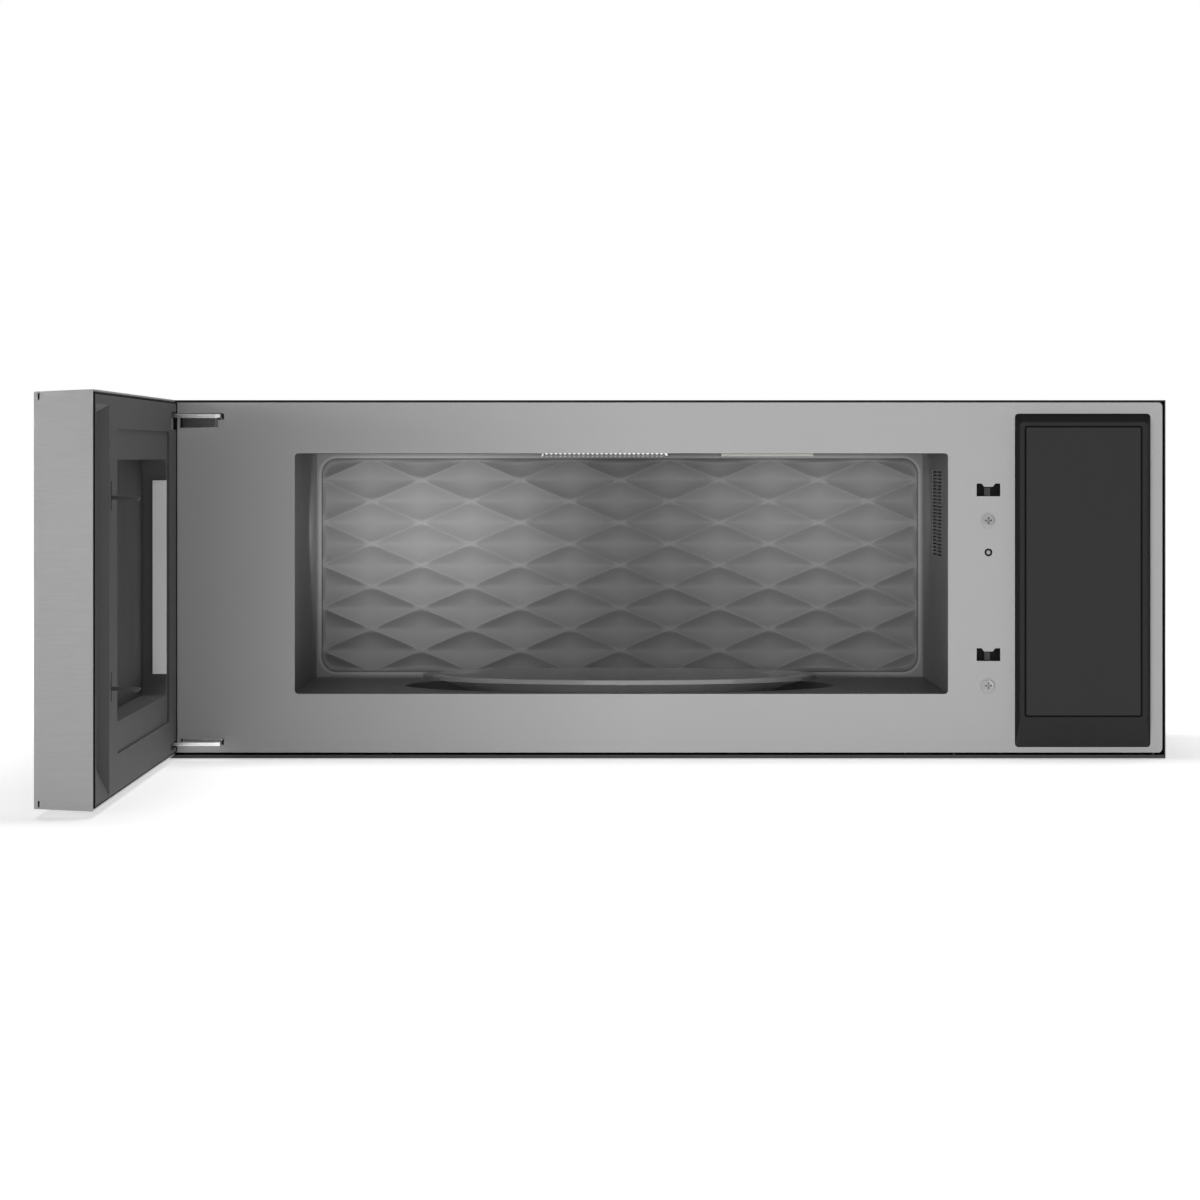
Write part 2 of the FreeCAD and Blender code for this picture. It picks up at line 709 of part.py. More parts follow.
for middle in (-s.bolt_spacing / 2, s.bolt_spacing / 2):
    circle(sketch, middle, -s.bolt_setback, s.nut_radius)
    circle(sketch, middle, -s.bolt_setback, s.bolt_hole)
pad(sketch, s.nut_height, -1)
keep("top_panel", body)

body = new_body("back_panel")
sketch = new_sketch(body, "back_face", "XZ", inside_back)
rectangle(sketch, (left, right), (bottom, top))
hook_z = (bottom + s.hook_hole_rise, bottom + s.hook_hole_rise + s.hook_hole_height)
for middle in (-s.hook_hole_spacing / 2, s.hook_hole_spacing / 2):
    rectangle(sketch, (middle - s.hook_hole_width / 2, middle + s.hook_hole_width / 2), hook_z)
pad(sketch, s.panel_sheet, 1)
keep("back_panel", body)

body = new_body("base_pan")
sketch = new_sketch(body, "base_face", "XY", bottom)
rectangle(sketch, (inside_left, inside_right), (front, inside_back))
filter_y = (front + s.filter_setback, front + s.filter_setback + s.filter_length)
lens_y = (front + s.lens_setback, front + s.lens_setback + s.lens_width)
for side in (-1, 1):
    middle = side * s.filter_offset
    rectangle(sketch, (middle - s.filter_width / 2, middle + s.filter_width / 2), filter_y)
    middle = side * s.lens_offset
    rectangle(sketch, (middle - s.lens_length / 2, middle + s.lens_length / 2), lens_y)
pad(sketch, s.panel_sheet, 1)
sketch = new_sketch(body, "base_lip", "XY", bottom)
rectangle(sketch, (inside_left, inside_right), (front, front + s.panel_sheet))
pad(sketch, s.base_lip, 1)
sketch = new_sketch(body, "intake_slot", "XY", bottom)
intake_x = inside_right - s.filter_rim * 4
slot_y = inside_back - s.intake_width * 2
rectangle(sketch, (intake_x - s.intake_length, intake_x), (slot_y - s.intake_width, slot_y))
intake = pocket(sketch, s.panel_sheet, 1)
row = row_of(intake, "V_Axis", (s.intake_slots - 1) * s.intake_pitch, s.intake_slots)
row.Reversed = True
keep("base_pan", body)

spot = (right - s.bushing_inset, -s.bushing_inset, inside_top - s.bushing_flange)
sleeve = rod("bushing_sleeve", "Z", spot, s.bushing_flange + s.panel_sheet, s.bushing_radius - s.fit_gap)
flange = rod("bushing_flange", "Z", spot, s.bushing_flange, s.bushing_radius + s.bushing_flange)
bore = rod("bushing_bore", "Z", spot, s.bushing_flange + s.panel_sheet, s.bushing_bore)
keep("cord_bushing", without("cord_bushing_cut", join("bushing_outer", sleeve, flange), bore))

# Front frame

frame_x = (left + s.frame_inset, right - s.frame_inset)
frame_z = (bottom + s.frame_bottom_gap, top - s.frame_top_gap)
opening_x = (cavity_left, cavity_right)
opening_z = (cavity_floor, cavity_top)
control_x = (right - s.control_left, right - s.control_right)
control_z = (bottom + s.control_bottom, top - s.control_top)
sleeve_x = (control_x[0] + s.sleeve_inset, control_x[1] - s.sleeve_inset)
face_x = (control_x[0] + s.control_draft, control_x[1] - s.control_draft)
face_z = (control_z[0] + s.control_draft_bottom, control_z[1] - s.control_draft_top)
sleeve_z = (face_z[0] + s.sleeve_inset, face_z[1] - s.sleeve_inset)
arm_top = top - s.arm_drop_upper
arm_low = bottom + s.arm_rise_lower
arm_x = (pivot_x + s.arm_root, pivot_x + s.arm_reach)
arm_slot_x = (arm_x[0] - s.arm_slot_gap, arm_x[1] + s.arm_slot_gap)
arm_slots = {
    "upper": (arm_top - s.arm_sheet - s.arm_slot_gap, arm_top + s.arm_slot_gap / 2),
    "lower": (arm_low - s.arm_slot_gap / 2, arm_low + s.arm_sheet + s.arm_slot_gap),
}
slot_tops = {"upper": top - s.slot_top_upper, "lower": top - s.slot_top_lower}
screw_levels = (top - s.latch_screw_upper, top - s.latch_screw_lower)
stud_level = top - s.stud_drop

body = new_body("front_frame")
sketch = new_sketch(body, "frame_face", "XZ", front)
rectangle(sketch, frame_x, frame_z, s.frame_corner)
rectangle(sketch, opening_x, opening_z, s.opening_corner)
rectangle(sketch, sleeve_x, sleeve_z)
for level in arm_slots.values():
    rectangle(sketch, arm_slot_x, level)
for level in slot_tops.values():
    slot_x = (latch_x - s.slot_width / 2, latch_x + s.slot_width / 2)
    tab_x = (latch_x - s.slot_tab_width / 2, latch_x + s.slot_tab_width / 2)
    sill = level - s.slot_height
    tab = level - s.slot_tab_drop
    shoulder_x = grown(tab_x, s.slot_tab_slope)
    polygon(sketch, [(slot_x[0], sill), (slot_x[1], sill), (slot_x[1], level), (shoulder_x[1], level),
                     (tab_x[1], tab), (tab_x[0], tab), (shoulder_x[0], level), (slot_x[0], level)])
for level in screw_levels:
    circle(sketch, latch_x, level, s.screw_radius + s.fit_gap)
circle(sketch, latch_x, stud_level, s.stud_hole)
pad(sketch, s.frame_sheet, 1)
sketch = new_sketch(body, "frame_dimples", "XZ", front)
for level in screw_levels:
    circle(sketch, latch_x, level, s.dimple_radius)
pocket(sketch, s.dimple_depth, 1)
sketch = new_sketch(body, "frame_flange", "XZ", front)
inner_x = (frame_x[0] + s.frame_sheet, frame_x[1] - s.frame_sheet)
inner_z = (frame_z[0] + s.frame_sheet, frame_z[1] - s.frame_sheet)
rectangle(sketch, frame_x, frame_z, s.frame_corner)
rectangle(sketch, inner_x, inner_z, s.frame_corner - s.frame_sheet)
pad(sketch, s.frame_flange, 1)
sketch = new_sketch(body, "frame_opening_lip", "XZ", front)
lip_x = (opening_x[0] - s.frame_sheet, opening_x[1] + s.frame_sheet)
lip_z = (opening_z[0] - s.frame_sheet, opening_z[1] + s.frame_sheet)
rectangle(sketch, lip_x, lip_z, s.opening_corner + s.frame_sheet)
rectangle(sketch, opening_x, opening_z, s.opening_corner)
pad(sketch, s.opening_lip, 1)
keep("front_frame", body)

# Cavity

body = new_body("cavity_shell")
sketch = new_sketch(body, "shell_section", "XZ", cavity_front)
skirt = cavity_floor - s.liner_sheet
stepped(sketch, [(wall_left, skirt), (cavity_left, skirt), (cavity_left, cavity_top),
                 (cavity_right, cavity_top), (cavity_right, skirt), (wall_right, skirt),
                 (wall_right, roof), (wall_left, roof)])
pad(sketch, cavity_back - cavity_front, 1)
port_x = (cavity_mid_x + s.port_offset - s.port_width / 2, cavity_mid_x + s.port_offset + s.port_width / 2)
port_y = (cavity_mid_y - s.port_width / 2, cavity_mid_y + s.port_width / 2)
lamp_x = (cavity_mid_x - s.lamp_offset - s.lamp_width / 2, cavity_mid_x - s.lamp_offset + s.lamp_width / 2)
lamp_y = (front + s.lamp_setback, front + s.lamp_setback + s.lamp_depth)
sketch = new_sketch(body, "roof_openings", "XY", roof)
rectangle(sketch, port_x, port_y)
rectangle(sketch, lamp_x, lamp_y)
pocket(sketch, s.liner_sheet * 2, -1)
sketch = new_sketch(body, "vent_slot", "YZ", wall_right)
slot_top = cavity_top - s.vent_drop
slot_y = front + s.vent_front
for start in (slot_y, slot_y + s.vent_slot_length + s.vent_bridge):
    rectangle(sketch, (start, start + s.vent_slot_length), (slot_top - s.vent_slot_height, slot_top))
row = row_of(pocket(sketch, s.liner_sheet * 2, -1), "V_Axis", (s.vent_rows - 1) * s.vent_pitch, s.vent_rows)
row.Reversed = True
keep("cavity_shell", body)

body = new_body("cavity_floor")
sketch = new_sketch(body, "floor_sheet", "XY", cavity_floor)
rectangle(sketch, (cavity_left, cavity_right), (cavity_front, cavity_back))
circle(sketch, cavity_mid_x, cavity_mid_y, s.well_radius)
pad(sketch, s.liner_sheet, -1)
sketch = new_sketch(body, "well_wall", "XY", cavity_floor)
circle(sketch, cavity_mid_x, cavity_mid_y, s.well_radius + s.liner_sheet)
circle(sketch, cavity_mid_x, cavity_mid_y, s.well_radius)
pad(sketch, s.well_depth + s.liner_sheet, -1)
sketch = new_sketch(body, "well_disc", "XY", well_floor)
circle(sketch, cavity_mid_x, cavity_mid_y, s.well_radius + s.liner_sheet / 2)
circle(sketch, cavity_mid_x, cavity_mid_y, s.spindle_hole)
pad(sketch, s.liner_sheet, -1)
keep("cavity_floor", body)


def quilted_sheet():
    """The embossed back wall: a sheet pressed into dished diamonds, four facets to each, between ridges."""
    columns = int(number_of(s.quilt_columns))
    rows = int(number_of(s.quilt_rows)) * 2
    relief = number_of(s.quilt_relief)
    sheet_y = number_of(s.liner_sheet)
    plane = number_of(cavity_back)
    low_x = number_of(cavity_left + s.quilt_margin_side)
    high_x = number_of(cavity_right - s.quilt_margin_side)
    low_z = number_of(cavity_floor + s.quilt_margin_top)
    high_z = number_of(cavity_top - s.quilt_margin_top)
    half_x = (high_x - low_x) / columns / 2
    half_z = (high_z - low_z) / rows
    edge = [number_of(item) for item in (wall_left, wall_right, cavity_floor - s.liner_sheet, roof)]

    def knot(i, j, back):
        inner = 0 < i < columns * 2 and 0 < j < rows
        peak = inner and (i + j) % 2 == 1
        y = plane - relief if peak else plane
        return Vector(low_x + i * half_x, y + (sheet_y if back else 0), low_z + j * half_z)

    faces = []
    for back in (False, True):
        for i in range(columns * 2):
            for j in range(rows):
                a = knot(i, j, back)
                b = knot(i + 1, j, back)
                c = knot(i + 1, j + 1, back)
                d = knot(i, j + 1, back)
                split = ((a, b, d), (b, c, d)) if (i + j) % 2 == 0 else ((a, b, c), (a, c, d))
                for corners in split:
                    faces.append(Part.Face(Part.makePolygon(list(corners) + [corners[0]])))
        y = plane + (sheet_y if back else 0)
        outer = [Vector(edge[0], y, edge[2]), Vector(edge[1], y, edge[2]),
                 Vector(edge[1], y, edge[3]), Vector(edge[0], y, edge[3])]
        inner = [knot(i, 0, back) for i in range(columns * 2)]
        inner += [knot(columns * 2, j, back) for j in range(rows)]
        inner += [knot(i, rows, back) for i in range(columns * 2, 0, -1)]
        inner += [knot(0, j, back) for j in range(rows, 0, -1)]
        border = Part.Face(Part.makePolygon(outer + [outer[0]]))
        faces.append(border.cut(Part.Face(Part.makePolygon(inner + [inner[0]]))).Faces[0])
    for k in range(4):
        x = (edge[0], edge[1], edge[1], edge[0], edge[0])
        z = (edge[2], edge[2], edge[3], edge[3], edge[2])
        rim = [Vector(x[k], plane, z[k]), Vector(x[k + 1], plane, z[k + 1]),
               Vector(x[k + 1], plane + sheet_y, z[k + 1]), Vector(x[k], plane + sheet_y, z[k])]
        faces.append(Part.Face(Part.makePolygon(rim + [rim[0]])))
    shell = Part.makeShell(faces)
    shell.sewShape()
    solid = Part.makeSolid(shell)
    if solid.Volume < 0:
        solid.reverse()
    return solid


wall = doc.addObject("Part::Feature", "quilted_back")
wall.Shape = quilted_sheet()
keep("cavity_back_wall", wall)

body = new_body("lamp_screen")
screen_x = (lamp_x[0] - s.screen_overlap, lamp_x[1] + s.screen_overlap)
screen_y = (lamp_y[0] - s.screen_overlap, lamp_y[1] + s.screen_overlap)
sketch = new_sketch(body, "lamp_screen_face", "XY", cavity_top)
rectangle(sketch, screen_x, screen_y, s.screen_overlap)
pad(sketch, s.screen_drop, -1)
sketch = new_sketch(body, "lamp_screen_hollow", "XY", cavity_top)
rectangle(sketch, lamp_x, lamp_y)
pocket(sketch, s.screen_drop - s.liner_sheet, -1)
sketch = new_sketch(body, "lamp_screen_slot", "XY", cavity_top)
slot = s.vent_pitch
rectangle(sketch, (lamp_x[0] + slot, lamp_x[0] + slot * 2), (lamp_y[0] + slot, lamp_y[1] - slot))
row_of(pocket(sketch, s.screen_drop, -1), "H_Axis", s.lamp_width - slot * 3, 17)
keep("lamp_screen", body)

lamp = block("lamp_board", screen_x, screen_y, (roof, roof + s.board_sheet))
lamps = [lamp]
for share in (0.25, 0.5, 0.75):
    middle = lamp_x[0] + s.lamp_width * share
    spot = (middle, (lamp_y[0] + lamp_y[1]) / 2, roof + s.board_sheet)
    height = s.lamp_height - s.board_sheet
    lamps.append(rod("lamp_part_%d" % (share * 4), "Z", spot, height, s.screen_overlap))
keep("cavity_lamp", join("cavity_lamp_body", *lamps))

cover_x = (port_x[0] - s.screen_overlap, port_x[1] + s.screen_overlap)
cover_y = (port_y[0] - s.screen_overlap, port_y[1] + s.screen_overlap)
keep("waveguide_cover", block("port_cover", cover_x, cover_y, (cavity_top - s.screen_drop, cavity_top)))

# Waveguide and magnetron

tube_x = (wall_right + s.tube_setback, wall_right + s.tube_setback + s.tube_width)
tube_mid = (tube_x[0] + tube_x[1]) / 2
tube_y = (cavity_mid_y - s.guide_width / 2, cavity_mid_y + s.guide_width / 2)
tube_z = (roof - s.tube_height, roof)
guide_x = (port_x[0] - s.guide_overhang, tube_x[1] + s.guide_overhang)
guide_z = (roof, roof + s.guide_height)

body = new_body("waveguide")
sketch = new_sketch(body, "guide_outline", "XY", guide_z[0])
rectangle(sketch, guide_x, tube_y)
pad(sketch, s.guide_height, 1)
sketch = new_sketch(body, "guide_hollow", "XY", guide_z[0] + s.guide_sheet)
hollow_x = (guide_x[0] + s.guide_sheet, guide_x[1] - s.guide_sheet)
hollow_y = (tube_y[0] + s.guide_sheet, tube_y[1] - s.guide_sheet)
rectangle(sketch, hollow_x, hollow_y)
pocket(sketch, s.guide_height - s.guide_sheet * 2, 1)
sketch = new_sketch(body, "guide_ports", "XY", guide_z[0])
rectangle(sketch, port_x, port_y)
circle(sketch, tube_mid, cavity_mid_y, s.antenna_radius + s.fan_tip_gap)
pocket(sketch, s.guide_sheet, 1)
keep("waveguide", body)

body = new_body("magnetron_yoke")
sketch = new_sketch(body, "yoke_section", "XZ", tube_y[0])
rectangle(sketch, tube_x, tube_z)
yoke_in_x = (tube_x[0] + s.yoke_sheet, tube_x[1] - s.yoke_sheet)
yoke_in_z = (tube_z[0] + s.yoke_sheet, tube_z[1] - s.yoke_sheet)
rectangle(sketch, yoke_in_x, yoke_in_z)
pad(sketch, s.guide_width, 1)
sketch = new_sketch(body, "yoke_antenna_hole", "XY", tube_z[1])
circle(sketch, tube_mid, cavity_mid_y, s.antenna_radius + s.fit_gap)
pocket(sketch, s.yoke_sheet * 2, -1)
keep("magnetron_yoke", body)

body = new_body("magnetron_anode")
sketch = new_sketch(body, "anode_round", "XY", yoke_in_z[0])
circle(sketch, tube_mid, cavity_mid_y, s.anode_radius)
pad(sketch, s.tube_height - s.yoke_sheet * 2, 1)
sketch = new_sketch(body, "antenna_round", "XY", yoke_in_z[1])
circle(sketch, tube_mid, cavity_mid_y, s.antenna_radius)
pad(sketch, s.yoke_sheet + s.antenna_height, 1)
fins_z = (tube_z[0] + tube_z[1] - (s.fin_count - 1) * s.fin_pitch - s.fin_thickness) / 2
sketch = new_sketch(body, "anode_fin", "XZ", tube_y[0])
fin_x = (yoke_in_x[0] + s.fit_gap, yoke_in_x[1] - s.fit_gap)
rectangle(sketch, fin_x, (fins_z, fins_z + s.fin_thickness))
row_of(pad(sketch, s.guide_width, 1), "V_Axis", (s.fin_count - 1) * s.fin_pitch, s.fin_count)
keep("magnetron_anode", body)

box_x = (tube_mid - s.filter_box_width / 2, tube_mid + s.filter_box_width / 2)
box_y = (cavity_mid_y - s.filter_box_width / 2, cavity_mid_y + s.filter_box_width / 2)
box_z = (tube_z[0] - s.filter_box_height, tube_z[0])
can = block("filter_box_can", box_x, box_y, box_z)
spot = (box_x[1], cavity_mid_y, (box_z[0] + box_z[1]) / 2)
plug = rod("filter_box_plug", "X", spot, s.fan_strut, s.cutout_radius)
keep("magnetron_filter_box", join("filter_box_body", can, plug))

# Component plate with the transformer and capacitor

plate_x = (wall_right + s.plate_margin, inside_right - s.panel_sheet * 2 - s.plate_margin)
plate_y = (frame_back + s.frame_flange + s.plate_margin, -s.partition_back)
plate_z = bottom + s.plate_height
body = new_body("component_plate")
sketch = new_sketch(body, "plate_section", "XZ", plate_y[0])
leg_x = (plate_x[0] + s.panel_sheet, plate_x[1] - s.panel_sheet)
under = plate_z - s.panel_sheet
stepped(sketch, [(plate_x[0], inside_bottom), (leg_x[0], inside_bottom), (leg_x[0], under),
                 (leg_x[1], under), (leg_x[1], inside_bottom), (plate_x[1], inside_bottom),
                 (plate_x[1], plate_z), (plate_x[0], plate_z)])
pad(sketch, plate_y[1] - plate_y[0], 1)
sketch = new_sketch(body, "plate_filter_notch", "XY", inside_bottom)
notch_y = (filter_y[0] - s.filter_overlap * 2, filter_y[1] + s.filter_overlap * 2)
rectangle(sketch, (plate_x[0] - s.plate_margin, plate_x[1] + s.plate_margin), notch_y)
pocket(sketch, s.filter_height * 2, 1)
keep("component_plate", body)

core_mid = (plate_x[0] + plate_x[1]) / 2
core_x = (core_mid - s.core_width / 2, core_mid + s.core_width / 2)
core_y = (front + s.core_setback, front + s.core_setback + s.core_stack)
core_z = (plate_z, plate_z + s.core_height)
window_z = (core_z[0] + s.core_limb, core_z[1] - s.core_limb)
body = new_body("transformer_core")
sketch = new_sketch(body, "core_section", "XZ", core_y[0])
rectangle(sketch, core_x, core_z)
windows = ((core_x[0] + s.core_limb, core_x[0] + s.core_limb + s.core_gap),
           (core_x[1] - s.core_limb - s.core_gap, core_x[1] - s.core_limb))
for window in windows:
    rectangle(sketch, window, window_z)
pad(sketch, s.core_stack, 1)
keep("transformer_core", body)

body = new_body("transformer_winding")
sketch = new_sketch(body, "winding_ring", "XY", window_z[0] + s.coil_gap)
coil_x = (windows[0][0] + s.coil_gap, windows[1][1] - s.coil_gap)
coil_y = (core_y[0] - s.coil_overhang, core_y[1] + s.coil_overhang)
limb_x = (windows[0][1] - s.coil_gap, windows[1][0] + s.coil_gap)
limb_y = (core_y[0] - s.coil_gap, core_y[1] + s.coil_gap)
rectangle(sketch, coil_x, coil_y, s.core_limb / 2)
rectangle(sketch, limb_x, limb_y)
pad(sketch, window_z[1] - window_z[0] - s.coil_gap * 2, 1)
keep("transformer_winding", body)

can_y = (box_y[1] + s.can_gap, box_y[1] + s.can_gap + s.can_width)
can_x = (core_mid - s.can_depth / 2, core_mid + s.can_depth / 2)
body = new_body("capacitor")
sketch = new_sketch(body, "can_outline", "XY", plate_z)
rectangle(sketch, can_x, can_y, s.can_depth / 2 - s.fit_gap)
pad(sketch, s.can_height, 1)
sketch = new_sketch(body, "can_terminals", "XY", plate_z + s.can_height)
for share in (0.3, 0.7):
    circle(sketch, core_mid, can_y[0] + s.can_width * share, s.post_radius)
pad(sketch, s.fan_strut, 1)
keep("capacitor", body)

body = new_body("capacitor_clamp")
sketch = new_sketch(body, "clamp_ring", "XY", plate_z)
clamp_x = (can_x[0] - s.clamp_sheet, can_x[1] + s.clamp_sheet)
clamp_y = (can_y[0] - s.clamp_sheet, can_y[1] + s.clamp_sheet)
can_round = s.can_depth / 2 - s.fit_gap
rectangle(sketch, clamp_x, clamp_y, can_round + s.clamp_sheet)
rectangle(sketch, grown(can_x, s.shaft_clearance), grown(can_y, s.shaft_clearance), can_round)
pad(sketch, s.clamp_height, 1)
sketch = new_sketch(body, "clamp_tab", "XY", plate_z)
rectangle(sketch, (clamp_x[1] - s.clamp_sheet / 2, clamp_x[1] + s.clamp_height / 2),
          (can_y[0] + s.can_depth / 2, can_y[1] - s.can_depth / 2))
pad(sketch, s.clamp_sheet, 1)
keep("capacitor_clamp", body)

# Fan partition, motor and blade

fan_x = core_mid
fan_z = (plate_z + cavity_top) / 2
part_y = (-s.partition_back, -s.partition_back + s.partition_sheet)
ring_y = (part_y[1], part_y[1] + s.fan_ring_depth)
ring_r = s.fan_radius + s.fan_tip_gap
body = new_body("fan_partition")
sketch = new_sketch(body, "partition_sheet", "XZ", part_y[0])
rectangle(sketch, plate_x, (inside_bottom + s.filter_height + s.fit_gap * 2, inside_top))
circle(sketch, fan_x, fan_z, ring_r)
pad(sketch, s.partition_sheet, 1)
sketch = new_sketch(body, "fan_ring", "XZ", part_y[0])
circle(sketch, fan_x, fan_z, ring_r + s.partition_sheet)
circle(sketch, fan_x, fan_z, ring_r)
pad(sketch, s.partition_sheet + s.fan_ring_depth + s.fan_strut, 1)
sketch = new_sketch(body, "fan_strut", "XZ", ring_y[1])
strut = (fan_z - s.fan_strut / 2, fan_z + s.fan_strut / 2)
rectangle(sketch, (fan_x - ring_r - s.partition_sheet / 2, fan_x + ring_r + s.partition_sheet / 2), strut)
circle(sketch, fan_x, fan_z, s.shaft_radius + s.shaft_clearance * 10)
pad(sketch, s.fan_strut, 1)
keep("fan_partition", body)

spot = (fan_x, ring_y[1] + s.fan_strut, fan_z)
motor = rod("fan_motor_can", "Y", spot, s.fan_motor_length, s.fan_motor_radius)
bore = rod("fan_motor_bore", "Y", spot, s.fan_motor_length / 2, s.shaft_radius + s.shaft_clearance)
keep("fan_motor", without("fan_motor_cut", motor, bore))

body = new_body("fan_blade")
sketch = new_sketch(body, "fan_hub", "XY", -s.fan_blade_width / 2)
circle(sketch, 0, 0, s.fan_hub_radius)
pad(sketch, s.fan_blade_width, 1)
sketch = new_sketch(body, "fan_shaft", "XY", s.fan_blade_width / 2)
circle(sketch, 0, 0, s.shaft_radius)
shaft_length = s.fan_ring_depth / 2 - s.fan_blade_width / 2 + s.fan_strut + s.fan_motor_length / 3
pad(sketch, shaft_length, 1)
sketch = body.newObject("Sketcher::SketchObject", "fan_blade_root")
sketch.AttachmentSupport = [(origin_item(body, "YZ_Plane"), "")]
sketch.MapMode = "FlatFace"
sketch.AttachmentOffset = Placement(Vector(), Rotation(AXES["Z"], number_of(s.fan_blade_pitch)))
sketch.setExpression("AttachmentOffset.Base.z", text_of(s.fan_hub_radius / 2))
blade_v = (-s.fan_blade_width / 2, s.fan_blade_width / 2)
rectangle(sketch, (-s.fan_blade_thickness / 2, s.fan_blade_thickness / 2), blade_v)
ring_of(pad(sketch, s.fan_radius - s.fan_hub_radius / 2 - s.fan_blade_thickness, 1), "Z_Axis", s.fan_blades)
body.Placement = Placement(Vector(), Rotation(AXES["Z"], AXES["Y"]))
place(body, fan_x, ring_y[0] + s.fan_ring_depth / 2, fan_z)
keep("fan_blade", body)

# Boards and small electrical parts

board_x = (core_mid - s.board_width / 2, core_mid + s.board_width / 2)
board_z = (fan_z - s.board_height / 2, fan_z + s.board_height / 2)
board_y = (inside_back - s.board_standoff - s.board_sheet, inside_back - s.board_standoff)
parts = [block("filter_board_sheet", board_x, board_y, board_z)]
for i, x in enumerate((board_x[0] + s.fan_strut, board_x[1] - s.fan_strut)):
    for j, z in enumerate((board_z[0] + s.fan_strut, board_z[1] - s.fan_strut)):
        parts.append(rod("standoff_%d%d" % (i, j), "Y", (x, board_y[1], z), s.board_standoff, s.post_radius))
spot = (core_mid, board_y[0] - s.cutout_height, board_z[0] + s.board_height / 2)
parts.append(rod("filter_choke", "Y", spot, s.cutout_height, s.fan_hub_radius))
keep("noise_filter_board", join("noise_filter_body", *parts))

spot_wall = (wall_right, front + s.vent_front / 2 + s.core_setback, (cavity_floor + cavity_top) / 2)
spot_tube = (tube_x[1], cavity_mid_y, (tube_z[0] + tube_z[1]) / 2)
cutouts = [rod("cutout_cavity", "X", spot_wall, s.cutout_height, s.cutout_radius),
           rod("cutout_tube", "X", spot_tube, s.cutout_height, s.cutout_radius)]
keep("thermal_cutouts", group("thermal_cutout_pair", *cutouts))

# Latch board, switches, plungers and screws

board_top = screw_levels[0] + (slot_tops["upper"] - screw_levels[0]) + s.latch_board_margin
board_low = screw_levels[1] - s.latch_board_margin
latch_x_span = (latch_x - s.latch_board_width / 2, latch_x + s.latch_board_width / 2)
body = new_body("latch_board")
sketch = new_sketch(body, "latch_board_face", "XZ", frame_back)
rectangle(sketch, latch_x_span, (board_low, board_top))
for level in slot_tops.values():
    rectangle(sketch, (latch_x - s.slot_width / 2, latch_x + s.slot_width / 2),
              (level - s.slot_height, level))
for level in screw_levels:
    circle(sketch, latch_x, level, s.screw_radius + s.shaft_clearance)
circle(sketch, latch_x, stud_level, s.stud_radius + s.shaft_clearance)
pad(sketch, s.latch_board_sheet, 1)
sketch = new_sketch(body, "latch_board_walls", "XZ", frame_back)
for edge, way in ((latch_x_span[0], 1), (latch_x_span[1], -1)):
    inner = edge + way * s.latch_board_sheet
    rectangle(sketch, (edge, inner) if way > 0 else (inner, edge), (board_low, board_top))
pad(sketch, s.latch_board_depth, 1)
keep("latch_board", body)

hook_tip = door_in + s.hook_reach
switch_front = hook_tip + s.plunger_gap + s.plunger_out
switches = []
for name, level in slot_tops.items():
    hook_mid = level - s.hook_drop - s.hook_height / 2
    switch_x = (latch_x_span[0] + s.latch_board_sheet, latch_x_span[1] - s.latch_board_sheet)
    switch_z = (hook_mid - s.switch_height / 2, hook_mid + s.switch_height / 2)
    case = block("switch_case_" + name, switch_x, (switch_front, switch_front + s.switch_depth), switch_z)
    pin_x = (latch_x - s.plunger_width / 2, latch_x + s.plunger_width / 2)
    pin_y = (switch_front - s.plunger_out, switch_front + s.plunger_in)
    pin_z = (hook_mid - s.plunger_height / 2, hook_mid + s.plunger_height / 2)
    bore_y = (switch_front, pin_y[1] + s.plunger_out)
    clearance = s.bore_clearance
    bore = block("switch_bore_" + name, grown(pin_x, clearance), bore_y, grown(pin_z, clearance))
    switches.append(without("switch_" + name, case, bore))
    keep("switch_plunger_" + name, block("plunger_pin_" + name, pin_x, pin_y, pin_z))
keep("interlock_switches", group("interlock_switch_pair", *switches))

screws = []
for i, level in enumerate(screw_levels):
    head_y = front + s.dimple_depth - s.screw_head_height
    spot = (latch_x, head_y, level)
    head = rod("screw_head_%d" % i, "Y", spot, s.screw_head_height, s.screw_head)
    shank = rod("screw_shank_%d" % i, "Y", spot, s.screw_length + s.screw_head_height, s.screw_radius)
    arm = s.screw_head * 0.6
    slit_y = (head_y, head_y + s.screw_recess_depth)
    half = s.screw_recess / 2
    wide = (latch_x - arm, latch_x + arm)
    across = block("screw_slit_%d" % i, wide, slit_y, (level - half, level + half))
    narrow = (latch_x - half, latch_x + half)
    upright = block("screw_slot_%d" % i, narrow, slit_y, (level - arm, level + arm))
    screws.append(without("screw_%d" % i, join("screw_blank_%d" % i, head, shank), across, upright))
stud_y = front + s.stud_sink
stud_length = frame_back + s.latch_board_sheet - stud_y
screws.append(rod("locating_stud", "Y", (latch_x, stud_y, stud_level), stud_length, s.stud_radius))
keep("latch_screws", group("latch_fixings", *screws))

# Control unit

